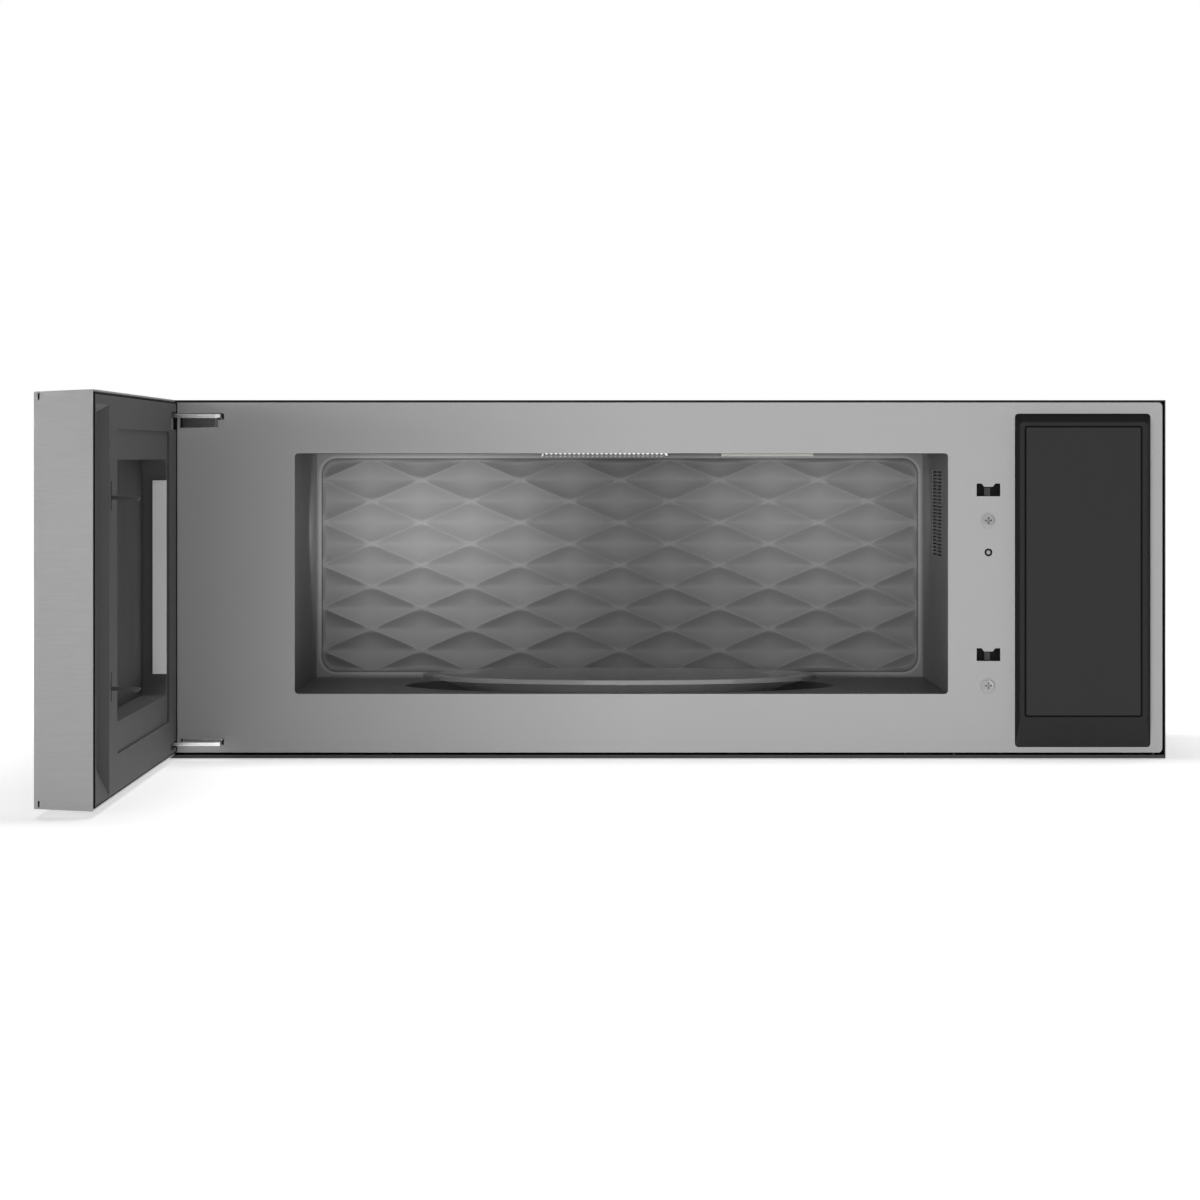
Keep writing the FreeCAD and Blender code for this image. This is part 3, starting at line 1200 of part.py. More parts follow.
control_face = front - s.control_rise
body = new_body("control_housing")
base = rectangle(new_sketch(body, "control_base", "XZ", front), control_x, control_z, s.control_corner)
crown = rectangle(new_sketch(body, "control_crown", "XZ", control_face), face_x, face_z, s.control_corner)
loft("AdditiveLoft", base, crown)
touch_x = (face_x[0] + s.touch_border, face_x[1] - s.touch_border)
touch_z = (face_z[0] + s.touch_border_edge, face_z[1] - s.touch_border_edge)
sketch = new_sketch(body, "touch_pocket", "XZ", control_face)
rectangle(sketch, touch_x, touch_z, s.touch_corner + s.touch_groove)
pocket(sketch, s.touch_sink, 1)
sleeve_out_x = (sleeve_x[0] + s.fit_gap, sleeve_x[1] - s.fit_gap)
sleeve_out_z = (sleeve_z[0] + s.fit_gap, sleeve_z[1] - s.fit_gap)
sleeve_in_x = (sleeve_out_x[0] + s.sleeve_wall, sleeve_out_x[1] - s.sleeve_wall)
sleeve_in_z = (sleeve_out_z[0] + s.sleeve_wall, sleeve_out_z[1] - s.sleeve_wall)
sketch = new_sketch(body, "control_sleeve", "XZ", front)
rectangle(sketch, sleeve_out_x, sleeve_out_z)
pad(sketch, s.sleeve_depth, 1)
sketch = new_sketch(body, "control_hollow", "XZ", front + s.sleeve_depth)
rectangle(sketch, sleeve_in_x, sleeve_in_z)
pocket(sketch, s.sleeve_depth + s.control_rise - s.touch_sink - s.sleeve_wall, -1)
keep("control_housing", body)

panel_x = (touch_x[0] + s.touch_groove, touch_x[1] - s.touch_groove)
panel_z = (touch_z[0] + s.touch_groove, touch_z[1] - s.touch_groove)
body = new_body("touch_panel")
sketch = new_sketch(body, "touch_sheet", "XZ", control_face)
rectangle(sketch, panel_x, panel_z, s.touch_corner)
pad(sketch, s.touch_sink, 1)
keep("touch_panel", body)

pcb_y = (front + s.sleeve_depth - s.board_sheet - s.sleeve_wall, front + s.sleeve_depth - s.sleeve_wall)
pcb_x = (sleeve_in_x[0] + s.fit_gap, sleeve_in_x[1] - s.fit_gap)
pcb_z = (sleeve_in_z[0] + s.fit_gap, sleeve_in_z[1] - s.fit_gap)
pcb = block("control_pcb", pcb_x, pcb_y, pcb_z)
relay_z = (pcb_z[0] + s.switch_height, pcb_z[0] + s.switch_height * 2)
relay_x = (core_mid, core_mid + s.switch_depth)
relay = block("control_relay", relay_x, (pcb_y[1], pcb_y[1] + s.switch_depth), relay_z)
keep("control_board", join("control_board_body", pcb, relay))

# Turntable

tray_under = well_floor + s.roller_gap * 2 + s.roller_radius * 2
tray_rim = cavity_floor + s.tray_rim_height
body = new_body("turntable_tray")
sketch = new_sketch(body, "tray_section", "XZ", 0 * s.tray_radius)
rise = tray_rim - tray_under
rim_in = s.tray_radius - s.tray_rim_width
polygon(sketch, [(0 * rise, 0 * rise), (s.tray_base_radius, 0 * rise), (rim_in, rise - s.tray_glass),
                 (s.tray_radius, rise - s.tray_glass * 0.8), (s.tray_radius, rise),
                 (rim_in - s.tray_glass / 2, rise), (s.tray_base_radius - s.tray_glass / 2, s.tray_glass),
                 (0 * rise, s.tray_glass)])
revolve(sketch)
place(body, cavity_mid_x, cavity_mid_y, tray_under)
keep("turntable_tray", body)

spot_z = well_floor + s.hub_lift
hub = rod("hub_round", "Z", (cavity_mid_x, cavity_mid_y, spot_z), tray_under - spot_z, s.hub_radius)
spindle_start = well_under - s.motor_height / 2
spot = (cavity_mid_x, cavity_mid_y, spindle_start)
spindle = rod("hub_spindle", "Z", spot, spot_z - spindle_start, s.shaft_radius)
arms = []
for i in range(3):
    arm = doc.addObject("Part::Box", "hub_arm_%d" % i)
    turn = Rotation(AXES["Z"], 120 * i + 90)
    side = turn.multVec(Vector(0, -1, 0))
    arm.Placement = Placement(Vector(), turn)
    arm.setExpression("Length", text_of(s.hub_arm_length))
    arm.setExpression("Width", text_of(s.hub_arm_width))
    arm.setExpression("Height", text_of((tray_under - spot_z) / 2))
    place(arm, cavity_mid_x + s.hub_arm_width / 2 * side.x, cavity_mid_y + s.hub_arm_width / 2 * side.y,
          (tray_under + spot_z) / 2)
    arms.append(arm)
keep("turntable_coupler", join("coupler_body", hub, spindle, *arms))

spot = (cavity_mid_x, cavity_mid_y, well_under - s.motor_height)
can = rod("turntable_motor_can", "Z", spot, s.motor_height, s.motor_radius)
ear_x = (cavity_mid_x - s.motor_radius * 1.5, cavity_mid_x + s.motor_radius * 1.5)
ear_y = (cavity_mid_y - s.hub_radius, cavity_mid_y + s.hub_radius)
ears = block("turntable_motor_ears", ear_x, ear_y, (well_under - s.board_sheet, well_under))
bore = rod("turntable_motor_bore", "Z", (cavity_mid_x, cavity_mid_y, well_under - s.motor_height * 0.6),
           s.motor_height * 0.6, s.shaft_radius + s.shaft_clearance)
keep("turntable_motor", without("turntable_motor_cut", join("turntable_motor_blank", can, ears), bore))

axle_z = well_floor + s.roller_gap + s.roller_radius
ring_in = s.ring_radius - s.ring_width / 2
ring_out = s.ring_radius + s.ring_width / 2
ring_low = axle_z - s.ring_height / 2
centre = (cavity_mid_x, cavity_mid_y, ring_low)
outer = rod("ring_outer", "Z", centre, s.ring_height, ring_out)
inner = rod("ring_inner", "Z", centre, s.ring_height, ring_in)
axle_length = s.ring_width / 2 + s.fit_gap * 2 + s.roller_width
stubs = []
for i in range(3):
    name = "roller_%d" % (i + 1)
    turn = 120 * i + 30
    way = Vector(math.cos(math.radians(turn)), math.sin(math.radians(turn)), 0)
    aim = Rotation(AXES["Z"], way)
    stub = doc.addObject("Part::Cylinder", "axle_%d" % (i + 1))
    stub.Placement = Placement(Vector(), aim)
    stub.setExpression("Radius", text_of(s.axle_radius))
    stub.setExpression("Height", text_of(axle_length))
    place(stub, cavity_mid_x + s.ring_radius * way.x, cavity_mid_y + s.ring_radius * way.y, axle_z)
    stubs.append(stub)
    body = new_body(name)
    sketch = new_sketch(body, name + "_section", "XZ", 0 * s.roller_radius)
    bore_r = s.axle_radius + s.axle_clearance
    crown_r = s.roller_radius - s.axle_clearance * 4
    polygon(sketch, [(bore_r, 0 * bore_r), (crown_r, 0 * bore_r), (s.roller_radius, s.roller_width / 4),
                     (s.roller_radius, s.roller_width * 3 / 4), (crown_r, s.roller_width),
                     (bore_r, s.roller_width)])
    revolve(sketch)
    body.Placement = Placement(Vector(), aim)
    reach = ring_out + s.fit_gap * 2
    place(body, cavity_mid_x + reach * way.x, cavity_mid_y + reach * way.y, axle_z)
    keep(name, body)
keep("roller_ring", join("roller_ring_body", without("ring_hoop", outer, inner), *stubs))

# Hinge arms on the cabinet

hinge_arms = []
for name, level, lip_way in (("upper", arm_top - s.arm_sheet, -1), ("lower", arm_low, 1)):
    body = new_body("hinge_arm_" + name)
    sketch = new_sketch(body, "arm_plate_" + name, "XY", level)
    nose_x = pivot_x - s.arm_half_width
    arm_y = (pivot_y - s.arm_half_width, pivot_y + s.arm_half_width)
    root_y = frame_back + s.arm_leg
    polygon(sketch, [(nose_x, arm_y[0]), (arm_x[1] - s.arm_chamfer, arm_y[0]),
                     (arm_x[1], arm_y[0] + s.arm_chamfer), (arm_x[1], root_y), (arm_x[0], root_y),
                     (arm_x[0], arm_y[1]), (nose_x, arm_y[1])])
    pad(sketch, s.arm_sheet, 1)
    sketch = new_sketch(body, "arm_pin_" + name, "XY", level - s.ear_sheet * 2)
    circle(sketch, pivot_x, pivot_y, s.pin_radius)
    pad(sketch, s.arm_sheet + s.ear_sheet * 4, 1)
    sketch = new_sketch(body, "arm_foot_" + name, "XZ", frame_back)
    foot_z = (level - s.arm_leg, level + s.arm_sheet) if lip_way < 0 else (level, level + s.arm_leg)
    rectangle(sketch, arm_x, foot_z)
    pad(sketch, s.arm_sheet, 1)
    if lip_way < 0:
        sketch = new_sketch(body, "arm_lip_" + name, "XY", level + s.arm_sheet / 2)
        lip_y = (arm_y[0] + s.arm_lip_inset / 2, arm_y[0] + s.arm_sheet * 2)
        rectangle(sketch, (arm_x[0], arm_x[1] - s.arm_lip_inset), lip_y, s.arm_lip_corner)
        pad(sketch, s.arm_lip + s.arm_sheet / 2, -1)
    hinge_arms.append(body)
keep("hinge_arms", group("hinge_arm_pair", *hinge_arms))

# Door skin and outer glass

body = new_body("door_skin")
sketch = new_sketch(body, "skin_outline", "XZ", door_out)
door_x = (door_left, door_right)
door_z = (door_bottom, door_top)
rectangle(sketch, door_x, grown(door_z, -s.skin_taper))
edge = rectangle(new_sketch(body, "skin_edge", "XZ", door_in - s.skin_reveal), door_x, door_z)
loft("AdditiveLoft", sketch, edge)
sketch = new_sketch(body, "skin_hollow", "XZ", door_out + s.skin_sheet)
skin_x = (door_left + s.skin_sheet, door_right - s.skin_sheet)
skin_z = (door_bottom + s.skin_sheet, door_top - s.skin_sheet)
rectangle(sketch, skin_x, grown(skin_z, -s.skin_taper))
mouth = rectangle(new_sketch(body, "skin_mouth", "XZ", door_in), skin_x, skin_z)
loft("SubtractiveLoft", sketch, mouth)
sketch = new_sketch(body, "skin_hinge_edge", "XZ", door_out + s.skin_hinge_return)
hinge_cut_x = (door_left - s.door_end_gap, door_left + s.skin_sheet + s.liner_hinge_radius)
rectangle(sketch, hinge_cut_x, (door_bottom - s.door_end_gap, door_top + s.door_end_gap))
pocket(sketch, s.door_thickness, 1)
sketch = new_sketch(body, "skin_window", "XZ", door_out)
glass_x = (door_left + s.glass_margin_left, door_right - s.glass_margin_right)
glass_z = (door_bottom + s.glass_margin_edge, door_top - s.glass_margin_edge)
rectangle(sketch, glass_x, glass_z, s.glass_corner)
pocket(sketch, s.skin_sheet, 1)
sketch = new_sketch(body, "skin_relief", "YZ", door_right)
relief_y = (door_out + s.relief_setback, door_out + s.relief_setback + s.relief_width)
rectangle(sketch, relief_y, (door_top - s.relief_height, door_top))
rectangle(sketch, relief_y, (door_bottom, door_bottom + s.relief_height))
pocket(sketch, s.skin_sheet, -1)
keep("door_skin", hang(body))

pane_x = (glass_x[0] - s.glass_overlap, glass_x[1] + s.glass_overlap)
pane_z = (glass_z[0] - s.glass_overlap, glass_z[1] + s.glass_overlap)
pane_y = (door_out + s.skin_sheet, door_out + s.skin_sheet + s.door_glass_sheet)
keep("door_glass", hung_block("door_pane", pane_x, pane_y, pane_z))

# Door liner

liner_x = (skin_x[0] + s.fit_gap, skin_x[1] - s.edge_gap)
liner_z = (skin_z[0] + s.edge_gap, skin_z[1] - s.edge_gap)
face_back = door_in - s.liner_wall
win_x = (left + s.window_left, right - s.window_right)
win_z = (bottom + s.window_bottom, top - s.window_top)
nest_x = (control_x[0] - s.nest_gap, control_x[1] + s.nest_gap)
nest_z = (control_z[0] - s.nest_gap / 2, control_z[1] + s.nest_gap / 2)
nest_floor_x = (face_x[0] - s.nest_gap, face_x[1] + s.nest_gap)
nest_floor_z = (face_z[0] - s.nest_gap, face_z[1] + s.nest_gap)
nest_floor = control_face - s.nest_gap


body = new_body("door_liner")
sketch = new_sketch(body, "liner_section", "XY", liner_z[0])
wall_foot = door_out + s.skin_hinge_return + s.fit_gap
rim_foot = door_in - s.liner_rim_depth
stepped(sketch, [(liner_x[0], wall_foot), (liner_x[0] + s.liner_wall, wall_foot),
                 (liner_x[0] + s.liner_wall, face_back, s.liner_hinge_radius - s.liner_wall),
                 (liner_x[1] - s.liner_wall, face_back), (liner_x[1] - s.liner_wall, rim_foot),
                 (liner_x[1], rim_foot), (liner_x[1], door_in), (liner_x[0], door_in, s.liner_hinge_radius)])
pad(sketch, liner_z[1] - liner_z[0], 1)
sketch = new_sketch(body, "liner_rims", "XZ", face_back)
rim_x = (pivot_x + s.ear_length + s.pocket_margin, liner_x[1] - s.liner_wall / 2)
rectangle(sketch, rim_x, (liner_z[0], liner_z[0] + s.liner_wall))
rectangle(sketch, rim_x, (liner_z[1] - s.liner_wall, liner_z[1]))
pad(sketch, s.liner_rim_depth - s.liner_wall, -1)
sketch = new_sketch(body, "liner_window_wall", "XZ", face_back)
rectangle(sketch, grown(win_x, s.window_wall), grown(win_z, s.window_wall), s.window_corner + s.window_wall)
pad(sketch, s.window_depth - s.liner_wall, -1)
tub_lip = new_sketch(body, "liner_nest_outer", "XZ", face_back)
rectangle(tub_lip, grown(nest_x, s.nest_wall / 2), grown(nest_z, s.nest_wall / 4))
tub_base = new_sketch(body, "liner_nest_base", "XZ", nest_floor - s.nest_wall)
rectangle(tub_base, grown(nest_floor_x, s.nest_wall / 2), grown(nest_floor_z, s.nest_wall / 2))
loft("AdditiveLoft", tub_lip, tub_base)
sketch = new_sketch(body, "liner_spring_anchor", "XZ", face_back)
bar_low = slot_tops["lower"] - s.hook_drop - s.hook_height - s.bar_margin
anchor_top = bar_low - s.spring_length
anchor_x = (latch_x - s.anchor_size / 2, latch_x + s.anchor_size / 2)
rectangle(sketch, anchor_x, (anchor_top - s.anchor_size, anchor_top))
pad(sketch, s.bar_depth + s.slide_gap, -1)
sketch = new_sketch(body, "liner_panel", "XZ", door_in)
rectangle(sketch, grown(win_x, s.panel_border), grown(win_z, s.panel_border_edge), s.panel_corner)
pocket(sketch, s.panel_step, -1)
sketch = new_sketch(body, "liner_window", "XZ", door_in)
rectangle(sketch, win_x, win_z, s.window_corner)
pocket(sketch, s.window_depth, -1)
nest_lip = rectangle(new_sketch(body, "liner_nest_lip", "XZ", door_in), nest_x, nest_z)
nest_base = rectangle(new_sketch(body, "liner_nest_floor", "XZ", nest_floor), nest_floor_x, nest_floor_z)
loft("SubtractiveLoft", nest_lip, nest_base)
sketch = new_sketch(body, "liner_hook_slots", "XZ", door_in)
for level in slot_tops.values():
    middle = level - s.hook_drop - s.hook_height / 2 + s.hook_nose
    rectangle(sketch, (latch_x - s.hook_slot_width / 2, latch_x + s.hook_slot_width / 2),
              (middle - s.hook_slot_height / 2, middle + s.hook_slot_height / 2))
pocket(sketch, s.liner_wall, -1)
sketch = new_sketch(body, "liner_hinge_slots", "XZ", door_in)
sweep_x = (pivot_x - s.arm_half_width - s.pocket_margin, pivot_x + s.arm_reach + s.pocket_margin)
rectangle(sketch, sweep_x, (arm_top - s.arm_sheet - s.arm_lip - s.arm_slot_gap, arm_top + s.arm_slot_gap))
rectangle(sketch, sweep_x, (arm_low - s.arm_slot_gap, arm_low + s.arm_sheet + s.arm_slot_gap))
pocket(sketch, s.door_thickness - s.liner_wall * 2, -1)
keep("door_liner", hang(body))

# Window stack behind the liner

seat = door_in - s.window_depth
glass_back = seat - s.window_glass
pane = (grown(win_x, s.window_seat), (glass_back, seat), grown(win_z, s.window_seat))
keep("inner_window", hung_block("inner_pane", *pane))

body = new_body("door_screen")
sketch = new_sketch(body, "screen_sheet_outline", "XZ", glass_back)
rectangle(sketch, grown(win_x, s.pan_border), grown(win_z, s.pan_border), s.panel_corner)
pad(sketch, s.screen_sheet, -1)
keep("door_screen", hang(body))

strip_y = (door_in - s.panel_step - s.strip_depth, door_in - s.panel_step)
strip_z = (win_z[0] + s.window_corner, win_z[1] - s.window_corner)
keep("window_edge_strip", hung_block("edge_strip", (win_x[0], win_x[0] + s.skin_sheet), strip_y, strip_z))

# Latch bar with its hooks and spring

bar_front = face_back - s.slide_gap
bar_back = bar_front - s.bar_depth
bar_high = slot_tops["upper"] - s.hook_drop + s.bar_margin
body = new_body("latch_bar")
sketch = new_sketch(body, "latch_profile", "YZ", latch_x - s.hook_thickness / 2)
corners = [(bar_back, bar_low), (bar_front, bar_low)]
for name in ("lower", "upper"):
    hook_top = slot_tops[name] - s.hook_drop
    hook_low = hook_top - s.hook_height
    nose_y = hook_tip - s.hook_nose_length
    corners += [(bar_front, hook_low), (nose_y, hook_low), (nose_y, hook_low - s.hook_nose),
                (hook_tip - s.hook_chamfer, hook_low - s.hook_nose), (hook_tip, hook_top - s.hook_chamfer),
                (hook_tip, hook_top - s.hook_taper), (bar_front, hook_top)]
corners += [(bar_front, bar_high), (bar_back, bar_high)]
polygon(sketch, corners)
pad(sketch, s.hook_thickness, 1)
keep("latch_bar", hang(body))

body = new_body("latch_spring")
sketch = new_sketch(body, "spring_wire", "XZ", 0 * s.spring_radius)
circle(sketch, s.spring_radius, s.spring_wire, s.spring_wire)
coil = body.newObject("PartDesign::AdditiveHelix", "spring_coil")
coil.Profile = sketch
coil.ReferenceAxis = (sketch, ["V_Axis"])
coil.Mode = "pitch-height-angle"
coil.setExpression("Pitch", text_of(s.spring_pitch))
coil.setExpression("Height", text_of(s.spring_length - s.spring_wire * 2))
body.Tip = coil
keep("latch_spring", hang(body, latch_x, (bar_front + bar_back) / 2, anchor_top))

# Door hinge plates

hinge_plates = []
for name, level in (("upper", arm_top - s.arm_sheet), ("lower", arm_low)):
    body = new_body("door_hinge_" + name)
    ear_x = (pivot_x - s.ear_radius, pivot_x + s.ear_length)
    ear_y = (door_out + s.skin_sheet, pivot_y + s.ear_radius)
    gap = s.arm_slot_gap
    low_ear = level - gap - s.ear_sheet
    high_ear = level + s.arm_sheet + gap
    web_x = (ear_x[0], ear_x[1])
    sketch = new_sketch(body, "hinge_web_" + name, "XZ", ear_y[0])
    rectangle(sketch, web_x, (low_ear, high_ear + s.ear_sheet))
    pad(sketch, s.ear_sheet, 1)
    for part, floor in (("low", low_ear), ("high", high_ear)):
        sketch = new_sketch(body, "hinge_ear_%s_%s" % (name, part), "XY", floor)
        if name == "upper" and part == "low":
            rectangle(sketch, (ear_x[0], pivot_x + s.ear_radius), ear_y)
        else:
            rectangle(sketch, ear_x, ear_y)
        circle(sketch, pivot_x, pivot_y, s.pin_radius + s.pin_clearance)
        pad(sketch, s.ear_sheet, 1)
    hinge_plates.append(hang(body))
keep("door_hinge_plates", group("door_hinge_pair", *hinge_plates))

# Ventilation blower in the left bay

scroll_x = (inside_left + s.panel_sheet + s.scroll_side_gap / 4, wall_left - s.scroll_side_gap)
scroll_y = -s.scroll_setback
scroll_z = -s.scroll_drop
scroll_r = s.wheel_radius + s.scroll_swell
outlet_z = (scroll_z + scroll_r - s.outlet_height, scroll_z + scroll_r)
outlet_end = cavity_back + s.liner_sheet + s.duct_clearance
body = new_body("blower_housing")
sketch = new_sketch(body, "scroll_round", "YZ", scroll_x[0])
circle(sketch, scroll_y, scroll_z, scroll_r)
pad(sketch, scroll_x[1] - scroll_x[0], 1)
sketch = new_sketch(body, "scroll_outlet", "YZ", scroll_x[0])
rectangle(sketch, (scroll_y, outlet_end), outlet_z)
pad(sketch, scroll_x[1] - scroll_x[0], 1)
sketch = new_sketch(body, "scroll_hollow", "YZ", scroll_x[0] + s.scroll_sheet)
hollow = scroll_x[1] - scroll_x[0] - s.scroll_sheet * 2
circle(sketch, scroll_y, scroll_z, scroll_r - s.scroll_sheet)
pocket(sketch, hollow, 1)
sketch = new_sketch(body, "scroll_throat", "YZ", scroll_x[0] + s.scroll_sheet)
rectangle(sketch, (scroll_y, outlet_end), (outlet_z[0] + s.scroll_sheet, outlet_z[1] - s.scroll_sheet))
pocket(sketch, hollow, 1)
sketch = new_sketch(body, "scroll_inlet", "YZ", scroll_x[1])
circle(sketch, scroll_y, scroll_z, s.inlet_radius)
pocket(sketch, s.scroll_sheet, -1)
keep("blower_housing", body)

motor_start = scroll_x[0] + s.scroll_sheet
spot = (motor_start, scroll_y, scroll_z)
motor = rod("vent_motor_can", "X", spot, s.vent_motor_length, s.vent_motor_radius)
spot = (motor_start + s.vent_motor_length / 2, scroll_y, scroll_z)
bore = rod("vent_motor_bore", "X", spot, s.vent_motor_length / 2, s.shaft_radius + s.shaft_clearance)
keep("blower_motor", without("vent_motor_cut", motor, bore))

body = new_body("blower_wheel")
sketch = new_sketch(body, "wheel_disc", "XY", s.wheel_width - s.wheel_disc)
circle(sketch, 0, 0, s.wheel_radius)
pad(sketch, s.wheel_disc, 1)
sketch = new_sketch(body, "wheel_hub", "XY", s.wheel_width - s.wheel_disc)
circle(sketch, 0, 0, s.wheel_hub)
pad(sketch, s.wheel_hub, -1)
sketch = new_sketch(body, "wheel_shaft", "XY", s.wheel_width - s.wheel_disc)
circle(sketch, 0, 0, s.shaft_radius)
pad(sketch, s.wheel_width - s.wheel_disc - s.vent_motor_length * 0.7 + s.wheel_gap, -1)
sketch = new_sketch(body, "wheel_ring", "XY", 0 * s.wheel_disc)
circle(sketch, 0, 0, s.wheel_radius)
circle(sketch, 0, 0, s.wheel_radius - s.wheel_blade_depth)
pad(sketch, s.wheel_disc, 1)
sketch = body.newObject("Sketcher::SketchObject", "wheel_blade")
sketch.AttachmentSupport = [(origin_item(body, "XY_Plane"), "")]
sketch.MapMode = "FlatFace"
sketch.setExpression("AttachmentOffset.Base.z", text_of(s.wheel_disc / 2))
blade_tip = s.wheel_radius - s.wheel_blade_thickness
lean = s.wheel_blade_depth / 3
half = s.wheel_blade_thickness / 2
polygon(sketch, [(blade_tip - s.wheel_blade_depth + half * 2, -half - lean), (blade_tip, -half),
                 (blade_tip, half), (blade_tip - s.wheel_blade_depth + half * 2, half - lean)])
ring_of(pad(sketch, s.wheel_width - s.wheel_disc, 1), "Z_Axis", s.wheel_blades)
body.Placement = Placement(Vector(), Rotation(AXES["Z"], AXES["X"]))
place(body, motor_start + s.wheel_gap, scroll_y, scroll_z)
keep("blower_wheel", body)

# Exhaust duct and damper

duct_y = (outlet_end, inside_back)
duct_top = inside_top
duct_right = s.duct_half_width
duct_x = (scroll_x[0], duct_right)
duct_low = outlet_z[0]
low_box = block("duct_low", duct_x, duct_y, (duct_low, duct_top))
high_z = (roof + s.duct_clearance, duct_top)
high_box = block("duct_high", (-duct_right, duct_right), (-s.duct_reach, outlet_end), high_z)
low_hollow = block("duct_low_hollow", (duct_x[0] + s.duct_sheet, duct_x[1] - s.duct_sheet),
                   (duct_y[0] + s.duct_sheet, duct_y[1] - s.duct_sheet),
                   (duct_low + s.duct_sheet, duct_top - s.duct_sheet))
high_hollow = block("duct_high_hollow", (-duct_right + s.duct_sheet, duct_right - s.duct_sheet),
                    (-s.duct_reach + s.duct_sheet, outlet_end + s.duct_sheet * 2),
                    (high_z[0] + s.duct_sheet, duct_top - s.duct_sheet))
port = block("duct_port", (-s.port_half_width, s.port_half_width), (-s.port_front, -s.port_back),
             (duct_top - s.duct_sheet * 2, duct_top))
inlet = block("duct_inlet", (scroll_x[0] + s.duct_sheet, scroll_x[1]), (duct_y[0], duct_y[0] + s.duct_sheet),
              (outlet_z[0] + s.duct_sheet, outlet_z[1] - s.scroll_sheet))
flap_y = (-s.port_front + s.flap_gap, -s.port_back - s.flap_gap)
rod_y = flap_y[1] - s.flap_rod
rod_z = duct_top - s.duct_sheet - s.flap_rod * 2
rod_span = s.duct_half_width - s.duct_sheet / 4
bore_r = s.flap_rod + s.flap_rod_clearance
rod_bore = rod("duct_rod_bore", "X", (-duct_right, rod_y, rod_z), duct_right * 2, bore_r)
hollowed = without("duct_walls", join("duct_outer", low_box, high_box), low_hollow, high_hollow, port, inlet)
tab = block("duct_rod_tab", (-duct_right, -duct_right + s.duct_sheet),
            (rod_y - s.flap_rod * 3, inside_back), (rod_z - s.flap_rod * 3, duct_top))
keep("exhaust_duct", without("duct_cut", join("duct_with_tab", hollowed, tab), rod_bore))

flap_x = (-s.port_half_width + s.flap_gap, s.port_half_width - s.flap_gap)
leaf = block("flap_leaf", flap_x, (flap_y[0], rod_y), (rod_z - s.flap_sheet / 2, rod_z + s.flap_sheet / 2))
pin = rod("flap_pin", "X", (-rod_span, rod_y, rod_z), rod_span * 2, s.flap_rod)
keep("damper_flap", join("damper_flap_body", leaf, pin))

# Underside

filters = []
for side, name in ((-1, "left"), (1, "right")):
    middle = side * s.filter_offset
    span_x = grown((middle - s.filter_width / 2, middle + s.filter_width / 2), s.filter_overlap)
    span_y = grown(filter_y, s.filter_overlap)
    body = new_body("grease_filter_" + name)
    sketch = new_sketch(body, "filter_rim_" + name, "XY", inside_bottom)
    rectangle(sketch, span_x, span_y, s.filter_overlap)
    mesh_x = grown(span_x, -s.filter_rim)
    mesh_y = grown(span_y, -s.filter_rim)
    rectangle(sketch, mesh_x, mesh_y)
    pad(sketch, s.filter_height, 1)
    mesh_low = inside_bottom + (s.filter_height - s.filter_mesh) / 2
    sketch = new_sketch(body, "filter_mesh_" + name, "XY", mesh_low)
    rectangle(sketch, grown(mesh_x, s.filter_rim / 2), grown(mesh_y, s.filter_rim / 2))
    pad(sketch, s.filter_mesh, 1)
    filters.append(body)
keep("grease_filters", group("grease_filter_pair", *filters))

lenses = []
modules = []
for side in (-1, 1):
    middle = side * s.lens_offset
    span_x = grown((middle - s.lens_length / 2, middle + s.lens_length / 2), s.lens_overlap)
    span_y = grown(lens_y, s.lens_overlap)
    lens_z = (inside_bottom, inside_bottom + s.lens_sheet)
    lenses.append(block("lens_%d" % (side + 1), span_x, span_y, lens_z))
    module_z = (lens_z[1], lens_z[1] + s.lamp_module)
    spans = (grown(span_x, -s.lens_overlap), grown(span_y, -s.lens_overlap))
    modules.append(block("lamp_module_%d" % (side + 1), *spans, module_z))
keep("cooktop_lenses", group("cooktop_lens_pair", *lenses))
keep("cooktop_lamps", group("cooktop_lamp_pair", *modules))

# Check every object, then write one file for each piece

doc.recompute()
for item in doc.Objects:
    if "Invalid" in item.State or "Error" in item.State:
        raise RuntimeError("%s could not be made" % item.Label)
for node, item in pieces.items():
    if item.Shape.isNull() or not item.Shape.isValid():
        raise RuntimeError("%s has no sound shape" % node)
os.makedirs("parts", exist_ok=True)
for node, item in pieces.items():
    item.Shape.exportStep("parts/%s.step" % node)
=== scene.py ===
"""Looks for a low over-the-range microwave oven with its door standing open."""
import math

